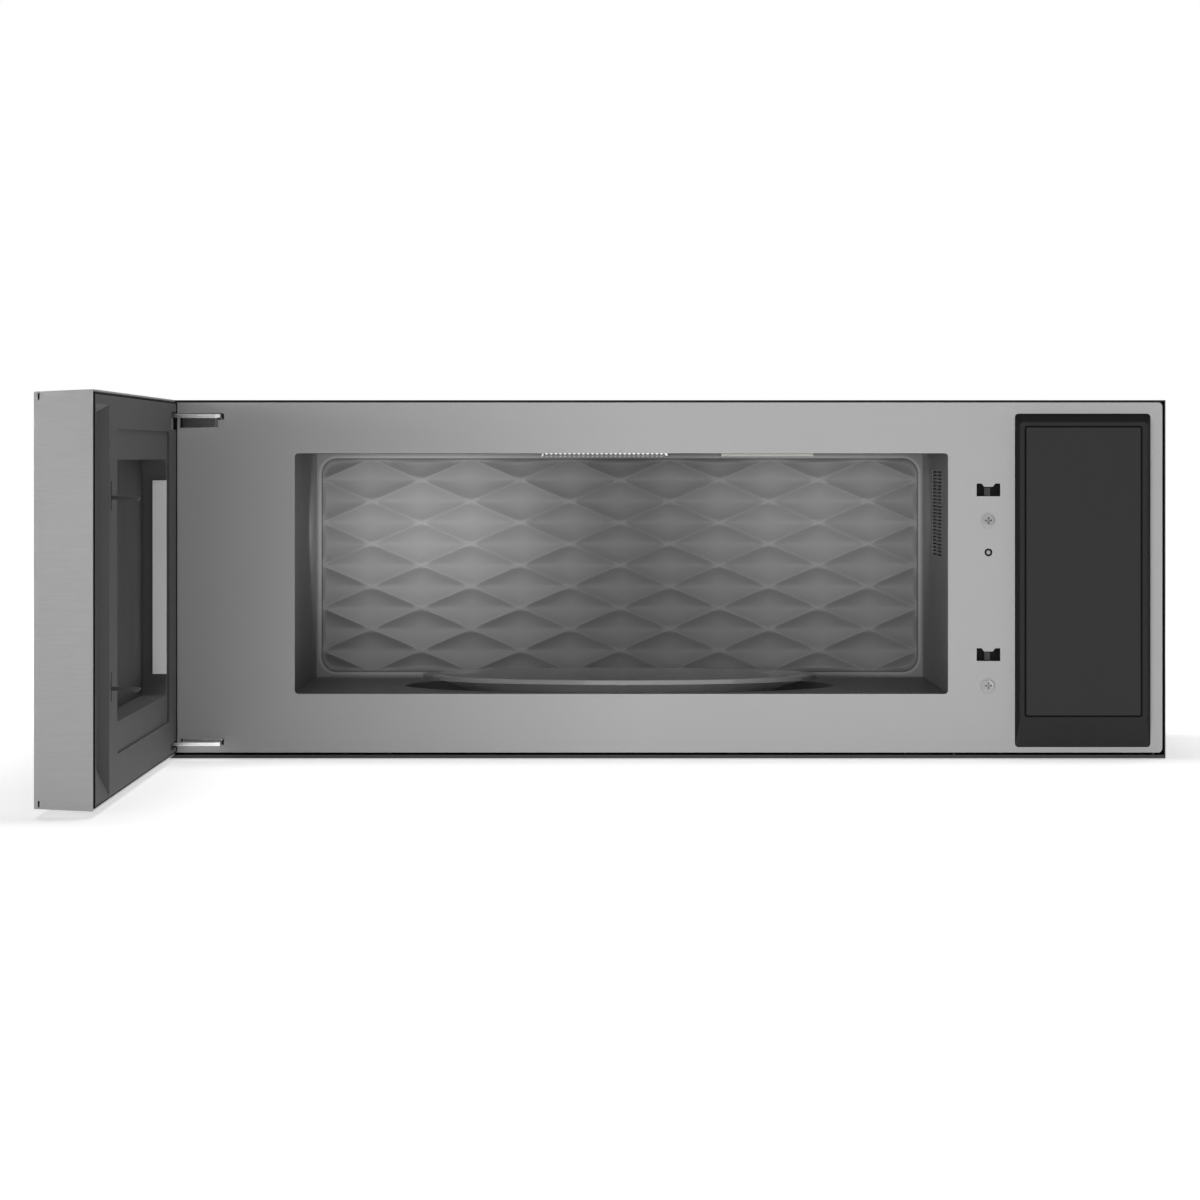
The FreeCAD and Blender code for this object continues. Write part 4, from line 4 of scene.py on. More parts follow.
import bmesh
import bpy
from bpy.props import FloatProperty, FloatVectorProperty, IntProperty, PointerProperty
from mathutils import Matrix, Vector


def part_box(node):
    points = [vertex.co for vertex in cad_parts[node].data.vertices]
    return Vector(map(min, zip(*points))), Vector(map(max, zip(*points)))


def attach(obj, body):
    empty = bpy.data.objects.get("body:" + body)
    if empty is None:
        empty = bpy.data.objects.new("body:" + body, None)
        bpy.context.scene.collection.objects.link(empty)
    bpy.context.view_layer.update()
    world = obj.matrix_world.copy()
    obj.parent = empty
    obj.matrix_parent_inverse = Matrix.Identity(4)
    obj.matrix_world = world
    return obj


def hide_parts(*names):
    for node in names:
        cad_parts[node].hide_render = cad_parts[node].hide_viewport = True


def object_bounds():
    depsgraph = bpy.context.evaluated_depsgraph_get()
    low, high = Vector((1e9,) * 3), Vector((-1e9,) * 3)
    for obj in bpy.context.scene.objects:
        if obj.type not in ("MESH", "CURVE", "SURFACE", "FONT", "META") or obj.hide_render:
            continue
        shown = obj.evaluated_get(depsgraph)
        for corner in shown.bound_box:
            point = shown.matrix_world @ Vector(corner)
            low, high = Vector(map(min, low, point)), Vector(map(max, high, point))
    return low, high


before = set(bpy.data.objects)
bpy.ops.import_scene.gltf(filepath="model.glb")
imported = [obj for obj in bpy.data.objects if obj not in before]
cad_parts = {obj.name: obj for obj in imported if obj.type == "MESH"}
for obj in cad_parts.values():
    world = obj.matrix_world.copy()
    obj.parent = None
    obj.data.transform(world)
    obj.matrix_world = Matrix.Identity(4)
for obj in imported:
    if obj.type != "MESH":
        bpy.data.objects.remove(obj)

bl_info = {
    "name": "Over-the-range microwave looks",
    "version": (1, 0, 0),
    "blender": (4, 5, 0),
    "location": "View3D > Sidebar > Microwave",
    "description": "Finishes and formed sheet pieces for an over-the-range microwave oven",
    "category": "Object",
}

CAD_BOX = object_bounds()
BACK_LOW, BACK_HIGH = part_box("cavity_back_wall")
SHELL_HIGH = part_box("cavity_shell")[1]
FRAME_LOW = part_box("front_frame")[0]
ARMS_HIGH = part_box("hinge_arms")[1]
TOUCH_LOW, TOUCH_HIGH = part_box("touch_panel")
LINER_LOW, LINER_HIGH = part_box("door_liner")
SKIN_LOW, SKIN_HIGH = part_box("door_skin")

# Metres
CAVITY_SHEET = 0.0008
SKIN_SHEET = 0.0012
SETBACK = 0.0002
FLOOR_GAP = 0.0004
FLOOR_HALF = 30.0

BOARD_GREEN = (0.02, 0.1, 0.05)


# Node helpers

def shade(level):
    """A grey level from 0 to 255, as it shows on a screen, in linear light."""
    part = level / 255.0
    return part / 12.92 if part <= 0.04045 else ((part + 0.055) / 1.055) ** 2.4


def grey(level):
    return (shade(level),) * 3


class Nodes:
    """The node tree of a material or a world, emptied and then built up."""

    def __init__(self, owner):
        owner.use_nodes = True
        self.tree = owner.node_tree
        self.tree.nodes.clear()

    def add(self, kind, **settings):
        node = self.tree.nodes.new(kind)
        for key, value in settings.items():
            setattr(node, key, value)
        return node

    def link(self, source, target):
        self.tree.links.new(source, target)

    def maths(self, operation, first, second=0.0):
        """The result of an operation on two items, each a number or a socket."""
        node = self.add("ShaderNodeMath", operation=operation)
        for socket, item in zip(node.inputs, (first, second)):
            if isinstance(item, (int, float)):
                socket.default_value = item
            else:
                self.link(item, socket)
        return node.outputs["Value"]


class Finish(Nodes):
    """One material with a single surface, built up socket by socket."""

    def __init__(self, name):
        self.material = bpy.data.materials.new(name)
        super().__init__(self.material)
        self.surface = self.add("ShaderNodeBsdfPrincipled")
        self.link(self.surface.outputs["BSDF"], self.add("ShaderNodeOutputMaterial").inputs["Surface"])
        self.place = self.add("ShaderNodeTexCoord").outputs["Object"]

    def sockets(self, **values):
        """Set the surface's own values, named with underscores for spaces."""
        for key, value in values.items():
            self.surface.inputs[key.replace("_", " ")].default_value = value

    def stretched(self, scale):
        """The place, scaled by its own amount along each axis."""
        node = self.add("ShaderNodeMapping")
        node.inputs["Scale"].default_value = scale
        self.link(self.place, node.inputs["Vector"])
        return node.outputs["Vector"]

    def noise(self, scale, detail=4.0, vector=None, roughness=0.55):
        node = self.add("ShaderNodeTexNoise")
        node.inputs["Scale"].default_value = scale
        node.inputs["Detail"].default_value = detail
        node.inputs["Roughness"].default_value = roughness
        self.link(vector or self.place, node.inputs["Vector"])
        return node.outputs["Fac"]

    def voronoi(self, scale):
        node = self.add("ShaderNodeTexVoronoi")
        node.inputs["Scale"].default_value = scale
        self.link(self.place, node.inputs["Vector"])
        return node.outputs

    def cells(self, scale):
        """The distance from the middle of the nearest cell."""
        return self.voronoi(scale)["Distance"]

    def crystals(self, scale):
        """A level of its own for each crystal of a plated sheet."""
        part = self.add("ShaderNodeSeparateColor")
        self.link(self.voronoi(scale)["Color"], part.inputs["Color"])
        return part.outputs["Red"]

    def ramp(self, source, low, high, span=(0.3, 0.7)):
        """Spread a value between two levels or two colours."""
        node = self.add("ShaderNodeValToRGB")
        for element, spot, level in zip(node.color_ramp.elements, span, (low, high)):
            element.position = spot
            element.color = (*level, 1.0) if isinstance(level, tuple) else (level, level, level, 1.0)
        self.link(source, node.inputs["Fac"])
        return node.outputs["Color"]

    def axis(self, name):
        """One part of the place in the object's own space."""
        node = self.add("ShaderNodeSeparateXYZ")
        self.link(self.place, node.inputs["Vector"])
        return node.outputs[name]

    def facing(self, name):
        """One part of the surface's own normal."""
        node = self.add("ShaderNodeSeparateXYZ")
        self.link(self.add("ShaderNodeTexCoord").outputs["Normal"], node.inputs["Vector"])
        return node.outputs[name]

    def rounded(self, radius):
        """The surface's normal with its edges rounded to a radius."""
        node = self.add("ShaderNodeBevel", samples=4)
        node.inputs["Radius"].default_value = radius
        return node.outputs["Normal"]

    def bump(self, height, strength, distance, edge=0.0):
        """A relief in the surface, on edges rounded to a radius."""
        node = self.add("ShaderNodeBump")
        node.inputs["Strength"].default_value = strength
        node.inputs["Distance"].default_value = distance
        self.link(height, node.inputs["Height"])
        self.link(node.outputs["Normal"], self.surface.inputs["Normal"])
        if edge:
            self.link(self.rounded(edge), node.inputs["Normal"])

    def edge_lit(self, source, colour, radius):
        """A colour that turns to another on rounded edges: a painted highlight where edges catch the light."""
        bend = self.add("ShaderNodeVectorMath", operation="DOT_PRODUCT")
        self.link(self.rounded(radius), bend.inputs[0])
        self.link(self.add("ShaderNodeNewGeometry").outputs["Normal"], bend.inputs[1])
        edge_highlight = self.ramp(self.maths("SUBTRACT", 1.0, bend.outputs["Value"]), 0.0, 1.0, span=(0.03, 0.22))
        return self.over(source, colour, edge_highlight)

    def over(self, source, colour, mask):
        """A colour laid over another where a mask is 1."""
        node = self.add("ShaderNodeMix", data_type="RGBA")
        node.inputs[7].default_value = (*colour, 1.0)
        self.link(mask, node.inputs[0])
        self.link(source, node.inputs[6])
        return node.outputs[2]

    def rim_distance(self, low, high, corner):
        """Distance in the XZ plane from a rectangle with rounded corners, less than nought inside it."""
        sides = []
        for name, first, last in zip("XZ", low, high):
            off = self.maths("ABSOLUTE", self.maths("SUBTRACT", self.axis(name), (first + last) / 2))
            sides.append(self.maths("SUBTRACT", off, (last - first) / 2 - corner))
        squares = [self.maths("POWER", self.maths("MAXIMUM", side, 0.0), 2.0) for side in sides]
        outside = self.maths("SQRT", self.maths("ADD", *squares))
        inside = self.maths("MINIMUM", self.maths("MAXIMUM", *sides), 0.0)
        return self.maths("SUBTRACT", self.maths("ADD", outside, inside), corner)

    def band(self, distance, middle, half):
        """1 in a narrow band about a distance, fading at its edges."""
        off = self.maths("ABSOLUTE", self.maths("SUBTRACT", distance, middle))
        return self.ramp(self.maths("DIVIDE", off, half * 2), 1.0, 0.0, span=(0.35, 0.65))

    def zone(self, low, high):
        """1 inside a box of the object's own space."""
        mask = 1.0
        for name, first, last in zip("XYZ", low, high):
            off = self.maths("ABSOLUTE", self.maths("SUBTRACT", self.axis(name), (first + last) / 2))
            mask = self.maths("MULTIPLY", mask, self.maths("LESS_THAN", off, (last - first) / 2))
        return mask

    def times(self, first, second):
        """One colour multiplied by another."""
        node = self.add("ShaderNodeMix", data_type="RGBA", blend_type="MULTIPLY")
        node.inputs[0].default_value = 1.0
        self.link(first, node.inputs[6])
        self.link(second, node.inputs[7])
        return node.outputs[2]

    def colour(self, source, recess=0.0, dark=0.2):
        """The base colour, with painted shade in recesses narrower than a size."""
        if recess:
            near = self.add("ShaderNodeAmbientOcclusion", samples=6)
            near.inputs["Distance"].default_value = recess
            source = self.times(source, self.ramp(near.outputs["AO"], dark, 1.0, span=(0.2, 0.62)))
        self.link(source, self.surface.inputs["Base Color"])

    def rough(self, source):
        self.link(source, self.surface.inputs["Roughness"])


def scaled(colour, times):
    return tuple(min(1.0, part * times) for part in colour)


def tones(colour, spread):
    """A darker and a lighter tone of a colour."""
    return scaled(colour, 1 - spread), scaled(colour, 1 + spread)


def painted(name, colour, roughness=0.42, peel=0.25, spread=0.05, edge_light=1.25, shine=0.4, zone=None, pale=1.0):
    """Sprayed and baked paint: faint clouding, orange peel and a soft gloss, painted paler inside a zone as painted
    light, with painted highlights on rounded edges and painted shade in recesses.
    """
    finish = Finish(name)
    finish.sockets(Specular_IOR_Level=shine)
    coat = finish.ramp(finish.noise(9.0, detail=3.0), *tones(colour, spread))
    if zone:
        coat = finish.over(coat, scaled(colour, pale), finish.zone(*zone))
    finish.colour(finish.edge_lit(coat, scaled(colour, edge_light), radius=0.0012), recess=0.002, dark=0.45)
    finish.rough(finish.ramp(finish.noise(60.0, detail=2.0), roughness - 0.02, roughness + 0.02))
    finish.bump(finish.noise(900.0, detail=2.0), peel, distance=0.0002, edge=0.0006)
    return finish.material


def brushed(name, colour, scale, roughness=0.34, spread=0.16, metallic=1.0):
    """Rolled or brushed metal whose grain runs along the small entry of scale."""
    finish = Finish(name)
    finish.sockets(Metallic=metallic)
    grain = finish.noise(1.0, detail=6.0, vector=finish.stretched(scale), roughness=0.7)
    lines = finish.ramp(grain, *tones(colour, spread), span=(0.25, 0.75))
    # Painted highlights on rounded edges
    finish.colour(finish.edge_lit(lines, scaled(colour, 1.25), radius=0.0008))
    finish.rough(finish.ramp(grain, roughness - 0.08, roughness + 0.1))
    finish.bump(grain, 0.25, distance=0.0001, edge=0.0004)
    return finish.material


def plated(name, colour, roughness=0.38):
    """Zinc plating with its pale crystal patches."""
    finish = Finish(name)
    finish.sockets(Metallic=1.0)
    patches = finish.ramp(finish.crystals(120.0), *tones(colour, 0.06), span=(0.1, 0.9))
    finish.colour(patches, recess=0.002, dark=0.1)
    finish.rough(finish.ramp(finish.noise(35.0), roughness - 0.1, roughness + 0.12))
    finish.bump(finish.noise(400.0), 0.1, distance=0.0001, edge=0.0003)
    return finish.material


def moulded(name, colour, roughness=0.5, grain=900.0, depth=0.3, spread=0.06, shine=0.4, zone=None, pale=1.0):
    """Moulded plastic with a fine spark-eroded grain, painted paler inside a zone as painted light, with painted
    highlights on rounded edges and painted shade in recesses.
    """
    finish = Finish(name)
    finish.sockets(Specular_IOR_Level=shine)
    resin = finish.ramp(finish.noise(14.0, detail=3.0), *tones(colour, spread))
    if zone:
        resin = finish.over(resin, scaled(colour, pale), finish.zone(*zone))
    finish.colour(finish.edge_lit(resin, scaled(colour, 1.5), radius=0.001), recess=0.0025)
    pits = finish.cells(grain)
    finish.rough(finish.ramp(pits, roughness - 0.06, roughness + 0.08, span=(0.1, 0.6)))
    finish.bump(pits, depth, distance=0.0002, edge=0.0006)
    return finish.material


def polished(name, colour, roughness=0.12, spread=0.05, shine=0.5):
    """A smooth hard sheet with faint wipe marks in its gloss."""
    finish = Finish(name)
    finish.sockets(Specular_IOR_Level=shine)
    finish.colour(finish.ramp(finish.noise(5.0, detail=2.0), *tones(colour, spread)))
    finish.rough(finish.ramp(finish.noise(18.0, detail=3.0), roughness * 0.97, roughness * 1.05))
    return finish.material


def clear_glass(name, tint, roughness=0.03, clear=1.0):
    """Pressed glass, very slightly uneven."""
    finish = Finish(name)
    finish.sockets(Transmission_Weight=clear, IOR=1.45)
    finish.colour(finish.ramp(finish.noise(6.0, detail=2.0), *tones(tint, 0.02)))
    finish.rough(finish.ramp(finish.noise(40.0), roughness * 0.5, roughness * 1.5))
    finish.bump(finish.noise(22.0, detail=2.0), 0.08, distance=0.001)
    return finish.material


def punched(name, sheet, hole, pitch, across, along, glow=0.0):
    """Sheet with small holes a pitch apart, across one axis and along one or a sum of two; the holes may glow, painted
    light standing in for a lamp behind.
    """
    finish = Finish(name)
    finish.sockets(Specular_IOR_Level=0.3, Emission_Strength=glow)
    u = finish.maths("PINGPONG", finish.axis(across), pitch / 2)
    run = finish.axis(along[0])
    for other in along[1:]:
        run = finish.maths("ADD", run, finish.axis(other))
    v = finish.maths("PINGPONG", run, pitch / 2)
    far = finish.maths("ADD", finish.maths("POWER", u, 2.0), finish.maths("POWER", v, 2.0))
    radius = pitch * 0.33
    spot = finish.maths("LESS_THAN", far, radius ** 2)
    finish.colour(finish.ramp(spot, sheet, hole))
    if glow:
        finish.link(finish.ramp(spot, 0.0, 1.0), finish.surface.inputs["Emission Color"])
    finish.rough(finish.ramp(finish.noise(50.0), 0.4, 0.55))
    finish.bump(spot, -0.3, distance=0.0004)
    return finish.material


# Mesh helpers

def finish_nodes(material, *names):
    """Give CAD pieces their finish."""
    for name in names:
        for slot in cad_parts[name].material_slots:
            slot.material = material


def new_piece(name, mesh, material, body):
    piece = bpy.data.objects.new(name, mesh)
    bpy.context.collection.objects.link(piece)
    mesh.materials.append(material)
    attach(piece, body)
    return piece


def smooth_faces(mesh, angle=math.radians(40)):
    for face in mesh.polygons:
        face.use_smooth = True
    mesh.set_sharp_from_angle(angle=angle)


# Sizes and colours a user would change

class QuiltSizes(bpy.types.PropertyGroup):
    columns: IntProperty(name="Columns", description="Diamonds across the back wall", default=6, min=2)
    rows: IntProperty(name="Rows", description="Diamonds up the back wall", default=5, min=2)
    relief: FloatProperty(name="Relief", description="Depth of a diamond", default=0.0066, unit="LENGTH")
    border_side: FloatProperty(name="Side border", description="Plain edge at the sides", default=0.004,
                               unit="LENGTH")
    border_top: FloatProperty(name="Top border", description="Plain edge above and below", default=0.004,
                              unit="LENGTH")
    corner: FloatProperty(name="Corner", description="Corner radius of the pressed field", default=0.012,
                          unit="LENGTH")
    fineness: IntProperty(name="Fineness", description="Mesh steps in half a diamond", default=12, min=4)


class OvenColours(bpy.types.PropertyGroup):
    front: FloatVectorProperty(name="Front frame", description="Front frame paint", subtype="COLOR",
                               default=grey(172))
    cavity: FloatVectorProperty(name="Cavity", description="Cavity paint", subtype="COLOR", default=grey(110))
    case: FloatVectorProperty(name="Cabinet", description="Cabinet paint", subtype="COLOR", default=grey(34))
    steel: FloatVectorProperty(name="Door skin", description="Stainless skin", subtype="COLOR", default=grey(153))
    liner: FloatVectorProperty(name="Door liner", description="Moulded liner", subtype="COLOR", default=grey(80))
    control: FloatVectorProperty(name="Control unit", description="Control surround", subtype="COLOR",
                                 default=grey(47))
    touch: FloatVectorProperty(name="Touch panel", description="Touch panel", subtype="COLOR", default=grey(44))


class CameraSizes(bpy.types.PropertyGroup):
    distance: FloatProperty(name="Distance", description="Lens to the front frame", default=4.636, unit="LENGTH")
    aside: FloatProperty(name="Aside", description="Lens left of the middle", default=0.0353, unit="LENGTH")
    height: FloatProperty(name="Height", description="Lens above the middle", default=0.0896, unit="LENGTH")
    lens: FloatProperty(name="Lens", description="Focal length on a 36 mm sensor", default=189.38)
    shift: FloatProperty(name="Shift", description="Frame moved up, in its own widths", default=-0.119)


class MICROWAVE_OT_cabinet(bpy.types.Operator):
    """Paint the outer panels and finish what is fixed to them"""
    bl_idname = "microwave.cabinet"
    bl_label = "Cabinet"

    def execute(self, context):
        colours = context.scene.oven_colours
        finish_nodes(painted("cabinet paint", tuple(colours.case), 0.45),
                     "side_panel_left", "side_panel_right", "top_panel")
        finish_nodes(painted("base paint", grey(60), 0.5), "base_pan")
        finish_nodes(plated("back zinc", grey(178)), "back_panel")
        finish_nodes(moulded("bushing rubber", grey(22), 0.6), "cord_bushing")
        return {"FINISHED"}


class MICROWAVE_OT_front(bpy.types.Operator):
    """Paint the front frame and finish the latch parts that show through it"""
    bl_idname = "microwave.front"
    bl_label = "Front frame"

    def execute(self, context):
        colours = context.scene.oven_colours
        finish_nodes(painted("front paint", tuple(colours.front), 0.45, peel=0.15, spread=0.006), "front_frame")
        finish_nodes(plated("screw plating", grey(168), 0.3), "latch_screws")
        finish_nodes(moulded("latch board plastic", grey(15), 0.5), "latch_board")
        finish_nodes(moulded("switch plastic", grey(17), 0.45), "interlock_switches")
        finish_nodes(moulded("plunger plastic", grey(78), 0.45), "switch_plunger_upper", "switch_plunger_lower")
        return {"FINISHED"}


class MICROWAVE_OT_cavity(bpy.types.Operator):
    """Paint the cavity and finish its ceiling fittings"""
    bl_idname = "microwave.cavity"
    bl_label = "Cavity"

    def execute(self, context):
        colours = context.scene.oven_colours
        # A box round the slots in the right wall, from the wall's outside, the frame's face and the shell's top,
        # painted paler: painted light on the bars between the slots; the strong edge light paints highlights on all
        # rounded edges of the cavity
        corner = Vector((SHELL_HIGH[0], FRAME_LOW[1], SHELL_HIGH[2]))
        vent_light_box = (corner + Vector((-0.002, 0.094, -0.08)), corner + Vector((0.001, 0.225, -0.013)))
        paint = painted("cavity paint", tuple(colours.cavity), 0.42, peel=0.15, spread=0.04, edge_light=1.9, shine=0.2,
                        zone=vent_light_box, pale=1.1)
        finish_nodes(paint, "cavity_shell", "cavity_floor")
        # The holes are painted near-white and glow: painted light standing in for the lamp shining through the screen
        screen = punched("screen paint", grey(120), grey(240), pitch=0.0034, across="X", along="YZ", glow=0.55)
        finish_nodes(screen, "lamp_screen")
        finish_nodes(polished("lamp white", grey(235), 0.2), "cavity_lamp")
        finish_nodes(moulded("mica sheet", (0.7, 0.69, 0.66), 0.6, grain=300.0), "waveguide_cover")
        return {"FINISHED"}


class MICROWAVE_OT_quilt(bpy.types.Operator):
    """Press the back wall into dished diamonds"""
    bl_idname = "microwave.quilt"
    bl_label = "Quilted back wall"

    def paint(self, colour, start, half, stop, corner):
        """Cavity paint with painted highlights along the ridges and just outside the rim of the pressed field, and a
        painted shadow line just inside the rim.
        """
        finish = Finish("back wall paint")
        finish.sockets(Specular_IOR_Level=0.35)
        u = finish.maths("DIVIDE", finish.maths("SUBTRACT", finish.axis("X"), start[0]), half[0] * 2)
        v = finish.maths("DIVIDE", finish.maths("SUBTRACT", finish.axis("Z"), start[1]), half[1] * 2)
        rising = finish.maths("PINGPONG", finish.maths("SUBTRACT", u, v), 0.5)
        falling = finish.maths("PINGPONG", finish.maths("ADD", u, v), 0.5)
        ridge = finish.maths("MAXIMUM", rising, falling)
        coat = finish.ramp(ridge, colour, scaled(colour, 1.12), span=(0.47, 0.495))
        rim = finish.rim_distance(start, stop, corner)
        # A painted highlight just outside the field's rim and a painted shadow line just inside it
        coat = finish.over(coat, scaled(colour, 1.4), finish.band(rim, middle=0.0013, half=0.0009))
        finish.colour(finish.over(coat, scaled(colour, 0.5), finish.band(rim, middle=-0.0004, half=0.0005)))
        finish.rough(finish.ramp(finish.noise(60.0, detail=2.0), 0.4, 0.5))
        finish.bump(finish.noise(900.0, detail=2.0), 0.12, distance=0.0002)
        return finish.material

    def execute(self, context):
        sizes = context.scene.quilt_sizes
        colours = context.scene.oven_colours
        front = BACK_LOW[1] + SETBACK
        edge_run, fine_step, least_step = 0.0035, 0.001, 0.0004
        squareness, dish_reach, dish_curve = 8, 0.98, 2.2
        side, top = CAVITY_SHEET + sizes.border_side, CAVITY_SHEET + sizes.border_top
        low_x, high_x = BACK_LOW[0] + side, BACK_HIGH[0] - side
        low_z, high_z = BACK_LOW[2] + top, BACK_HIGH[2] - top
        half_x = (high_x - low_x) / sizes.columns / 2
        half_z = (high_z - low_z) / sizes.rows / 2
        steps = sizes.fineness

        def depth(x, z):
            """Depth of the pressing: dishes with rounded points between narrow ridges, cut off at a rounded edge."""
            u = (x - low_x) / half_x
            v = (z - low_z) / half_z
            du = abs((u + v) / 2 - round((u + v) / 2)) * 2
            dv = abs((u - v) / 2 - round((u - v) / 2)) * 2
            far = min(1.0, (du ** squareness + dv ** squareness) ** (1 / squareness) / dish_reach)
            inside_x = min(x - low_x, high_x - x)
            inside_z = min(z - low_z, high_z - z)
            if inside_x < sizes.corner and inside_z < sizes.corner:
                inside = sizes.corner - math.hypot(sizes.corner - inside_x, sizes.corner - inside_z)
            else:
                inside = min(inside_x, inside_z)
            edge = max(0.0, min(1.0, inside / edge_run))
            edge = edge * edge * (3 - 2 * edge)
            return sizes.relief * (1 - far ** dish_curve) * edge

        def stops(low, high, count, edges):
            """Positions across the field, finer in its border."""
            inner = [low + (high - low) * i / count for i in range(count + 1)]
            fine = [end + way * fine_step * k for end, way in ((low, 1), (high, -1)) for k in range(-3, 7)]
            spots = sorted(edges + inner + [spot for spot in fine if edges[0] < spot < edges[1]])
            kept = [spots[0]]
            for spot in spots[1:]:
                if spot - kept[-1] > least_step:
                    kept.append(spot)
            return kept

        xs = stops(low_x, high_x, sizes.columns * 2 * steps, [BACK_LOW[0], BACK_HIGH[0]])
        zs = stops(low_z, high_z, sizes.rows * 2 * steps, [BACK_LOW[2], BACK_HIGH[2]])
        work = bmesh.new()
        grid = [[work.verts.new((x, front + depth(x, z), z)) for x in xs] for z in zs]
        for j in range(len(zs) - 1):
            for i in range(len(xs) - 1):
                a, b, c, d = grid[j][i], grid[j][i + 1], grid[j + 1][i + 1], grid[j + 1][i]
                column = math.floor(((xs[i] + xs[i + 1]) / 2 - low_x) / half_x)
                row = math.floor(((zs[j] + zs[j + 1]) / 2 - low_z) / half_z)
                split = ((a, b, d), (b, c, d)) if (column + row) % 2 == 0 else ((a, b, c), (a, c, d))
                for corners in split:
                    work.faces.new(corners)
        mesh = bpy.data.meshes.new("quilted_back_wall")
        work.to_mesh(mesh)
        work.free()
        smooth_faces(mesh, math.radians(28))
        paint = self.paint(tuple(colours.cavity), (low_x, low_z), (half_x, half_z), (high_x, high_z), sizes.corner)
        piece = new_piece("quilted_back_wall", mesh, paint, "oven")
        sheet = piece.modifiers.new("sheet", "SOLIDIFY")
        # A little thinner than the solid's sheet, to keep inside its box
        sheet.thickness = 0.0007
        sheet.offset = -1.0
        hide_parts("cavity_back_wall")
        return {"FINISHED"}


class MICROWAVE_OT_turntable(bpy.types.Operator):
    """Finish the glass tray and the parts that turn it"""
    bl_idname = "microwave.turntable"
    bl_label = "Turntable"

    def execute(self, context):
        finish_nodes(clear_glass("tray glass", (0.88, 0.885, 0.88), 0.05, clear=0.7), "turntable_tray")
        finish_nodes(moulded("roller plastic", grey(205), 0.4), "roller_ring", "roller_1", "roller_2", "roller_3",
                     "turntable_coupler")
        finish_nodes(plated("turntable motor zinc", grey(170)), "turntable_motor")
        return {"FINISHED"}


class MICROWAVE_OT_controls(bpy.types.Operator):
    """Finish the control unit"""
    bl_idname = "microwave.controls"
    bl_label = "Control unit"

    def execute(self, context):
        colours = context.scene.oven_colours
        finish = Finish("control surround")
        finish.sockets(Specular_IOR_Level=0.08)
        # Faces square to the front or facing down keep the colour; sideways and upward slopes are painted a fifth as
        # bright as painted shade, and recesses get painted shade
        below = finish.maths("LESS_THAN", finish.facing("Z"), -0.2)
        flat = finish.maths("MAXIMUM", finish.maths("ABSOLUTE", finish.facing("Y")), below)
        light_and_shade = finish.ramp(flat, scaled(colours.control, 0.2), tuple(colours.control), span=(0.93, 0.99))
        finish.colour(light_and_shade, recess=0.0025, dark=0.03)
        pits = finish.cells(1200.0)
        finish.rough(finish.ramp(pits, 0.46, 0.58, span=(0.1, 0.6)))
        finish.bump(pits, 0.2, distance=0.0002, edge=0.0005)
        finish_nodes(finish.material, "control_housing")
        finish = Finish("touch sheet")
        finish.sockets(Specular_IOR_Level=0.2)
        rim = finish.rim_distance(TOUCH_LOW.xz, TOUCH_HIGH.xz, corner=0.0012)
        glass = finish.ramp(finish.noise(5.0, detail=2.0), *tones(tuple(colours.touch), 0.01))
        # A painted shadow line round the panel's rim, where the groove lies
        finish.colour(finish.over(glass, scaled(colours.touch, 0.15), finish.band(rim, middle=0.0, half=0.0007)))
        finish.rough(finish.ramp(finish.noise(18.0, detail=3.0), 0.38, 0.42))
        finish_nodes(finish.material, "touch_panel")
        finish_nodes(polished("control board lacquer", BOARD_GREEN, 0.35, spread=0.2), "control_board")
        return {"FINISHED"}


class MICROWAVE_OT_hinges(bpy.types.Operator):
    """Finish the hinge arms and the plates they turn in"""
    bl_idname = "microwave.hinges"
    bl_label = "Hinges"

    def execute(self, context):
        finish = Finish("hinge steel")
        finish.sockets(Metallic=1.0)
        # The plate at the top of each arm is painted bright and the lip below it dark: a painted reflection; edges get
        # painted highlights and recesses painted shade
        band_drop, to_centimetres = 0.0107, 100.0
        off = finish.maths("ABSOLUTE", finish.maths("SUBTRACT", finish.axis("Z"), ARMS_HIGH[2] - band_drop))
        light_and_shade = finish.ramp(finish.maths("MULTIPLY", off, to_centimetres), grey(92), grey(240), span=(0.37, 0.41))
        finish.colour(finish.edge_lit(light_and_shade, grey(250), radius=0.0008), recess=0.002, dark=0.3)
        finish.rough(finish.ramp(finish.noise(40.0), 0.14, 0.2))
        finish.bump(finish.noise(300.0), 0.05, distance=0.0001, edge=0.0004)
        finish_nodes(finish.material, "hinge_arms")
        finish_nodes(plated("hinge plate zinc", grey(180), 0.35), "door_hinge_plates")
        return {"FINISHED"}


class MICROWAVE_OT_door_skin(bpy.types.Operator):
    """Finish the stainless skin and the outer glass"""
    bl_idname = "microwave.door_skin"
    bl_label = "Door skin"

    def execute(self, context):
        colours = context.scene.oven_colours
        finish_nodes(brushed("stainless", tuple(colours.steel), (60.0, 60.0, 2600.0), 0.36, spread=0.1), "door_skin")
        finish_nodes(polished("door glass", grey(18), 0.06), "door_glass")
        return {"FINISHED"}


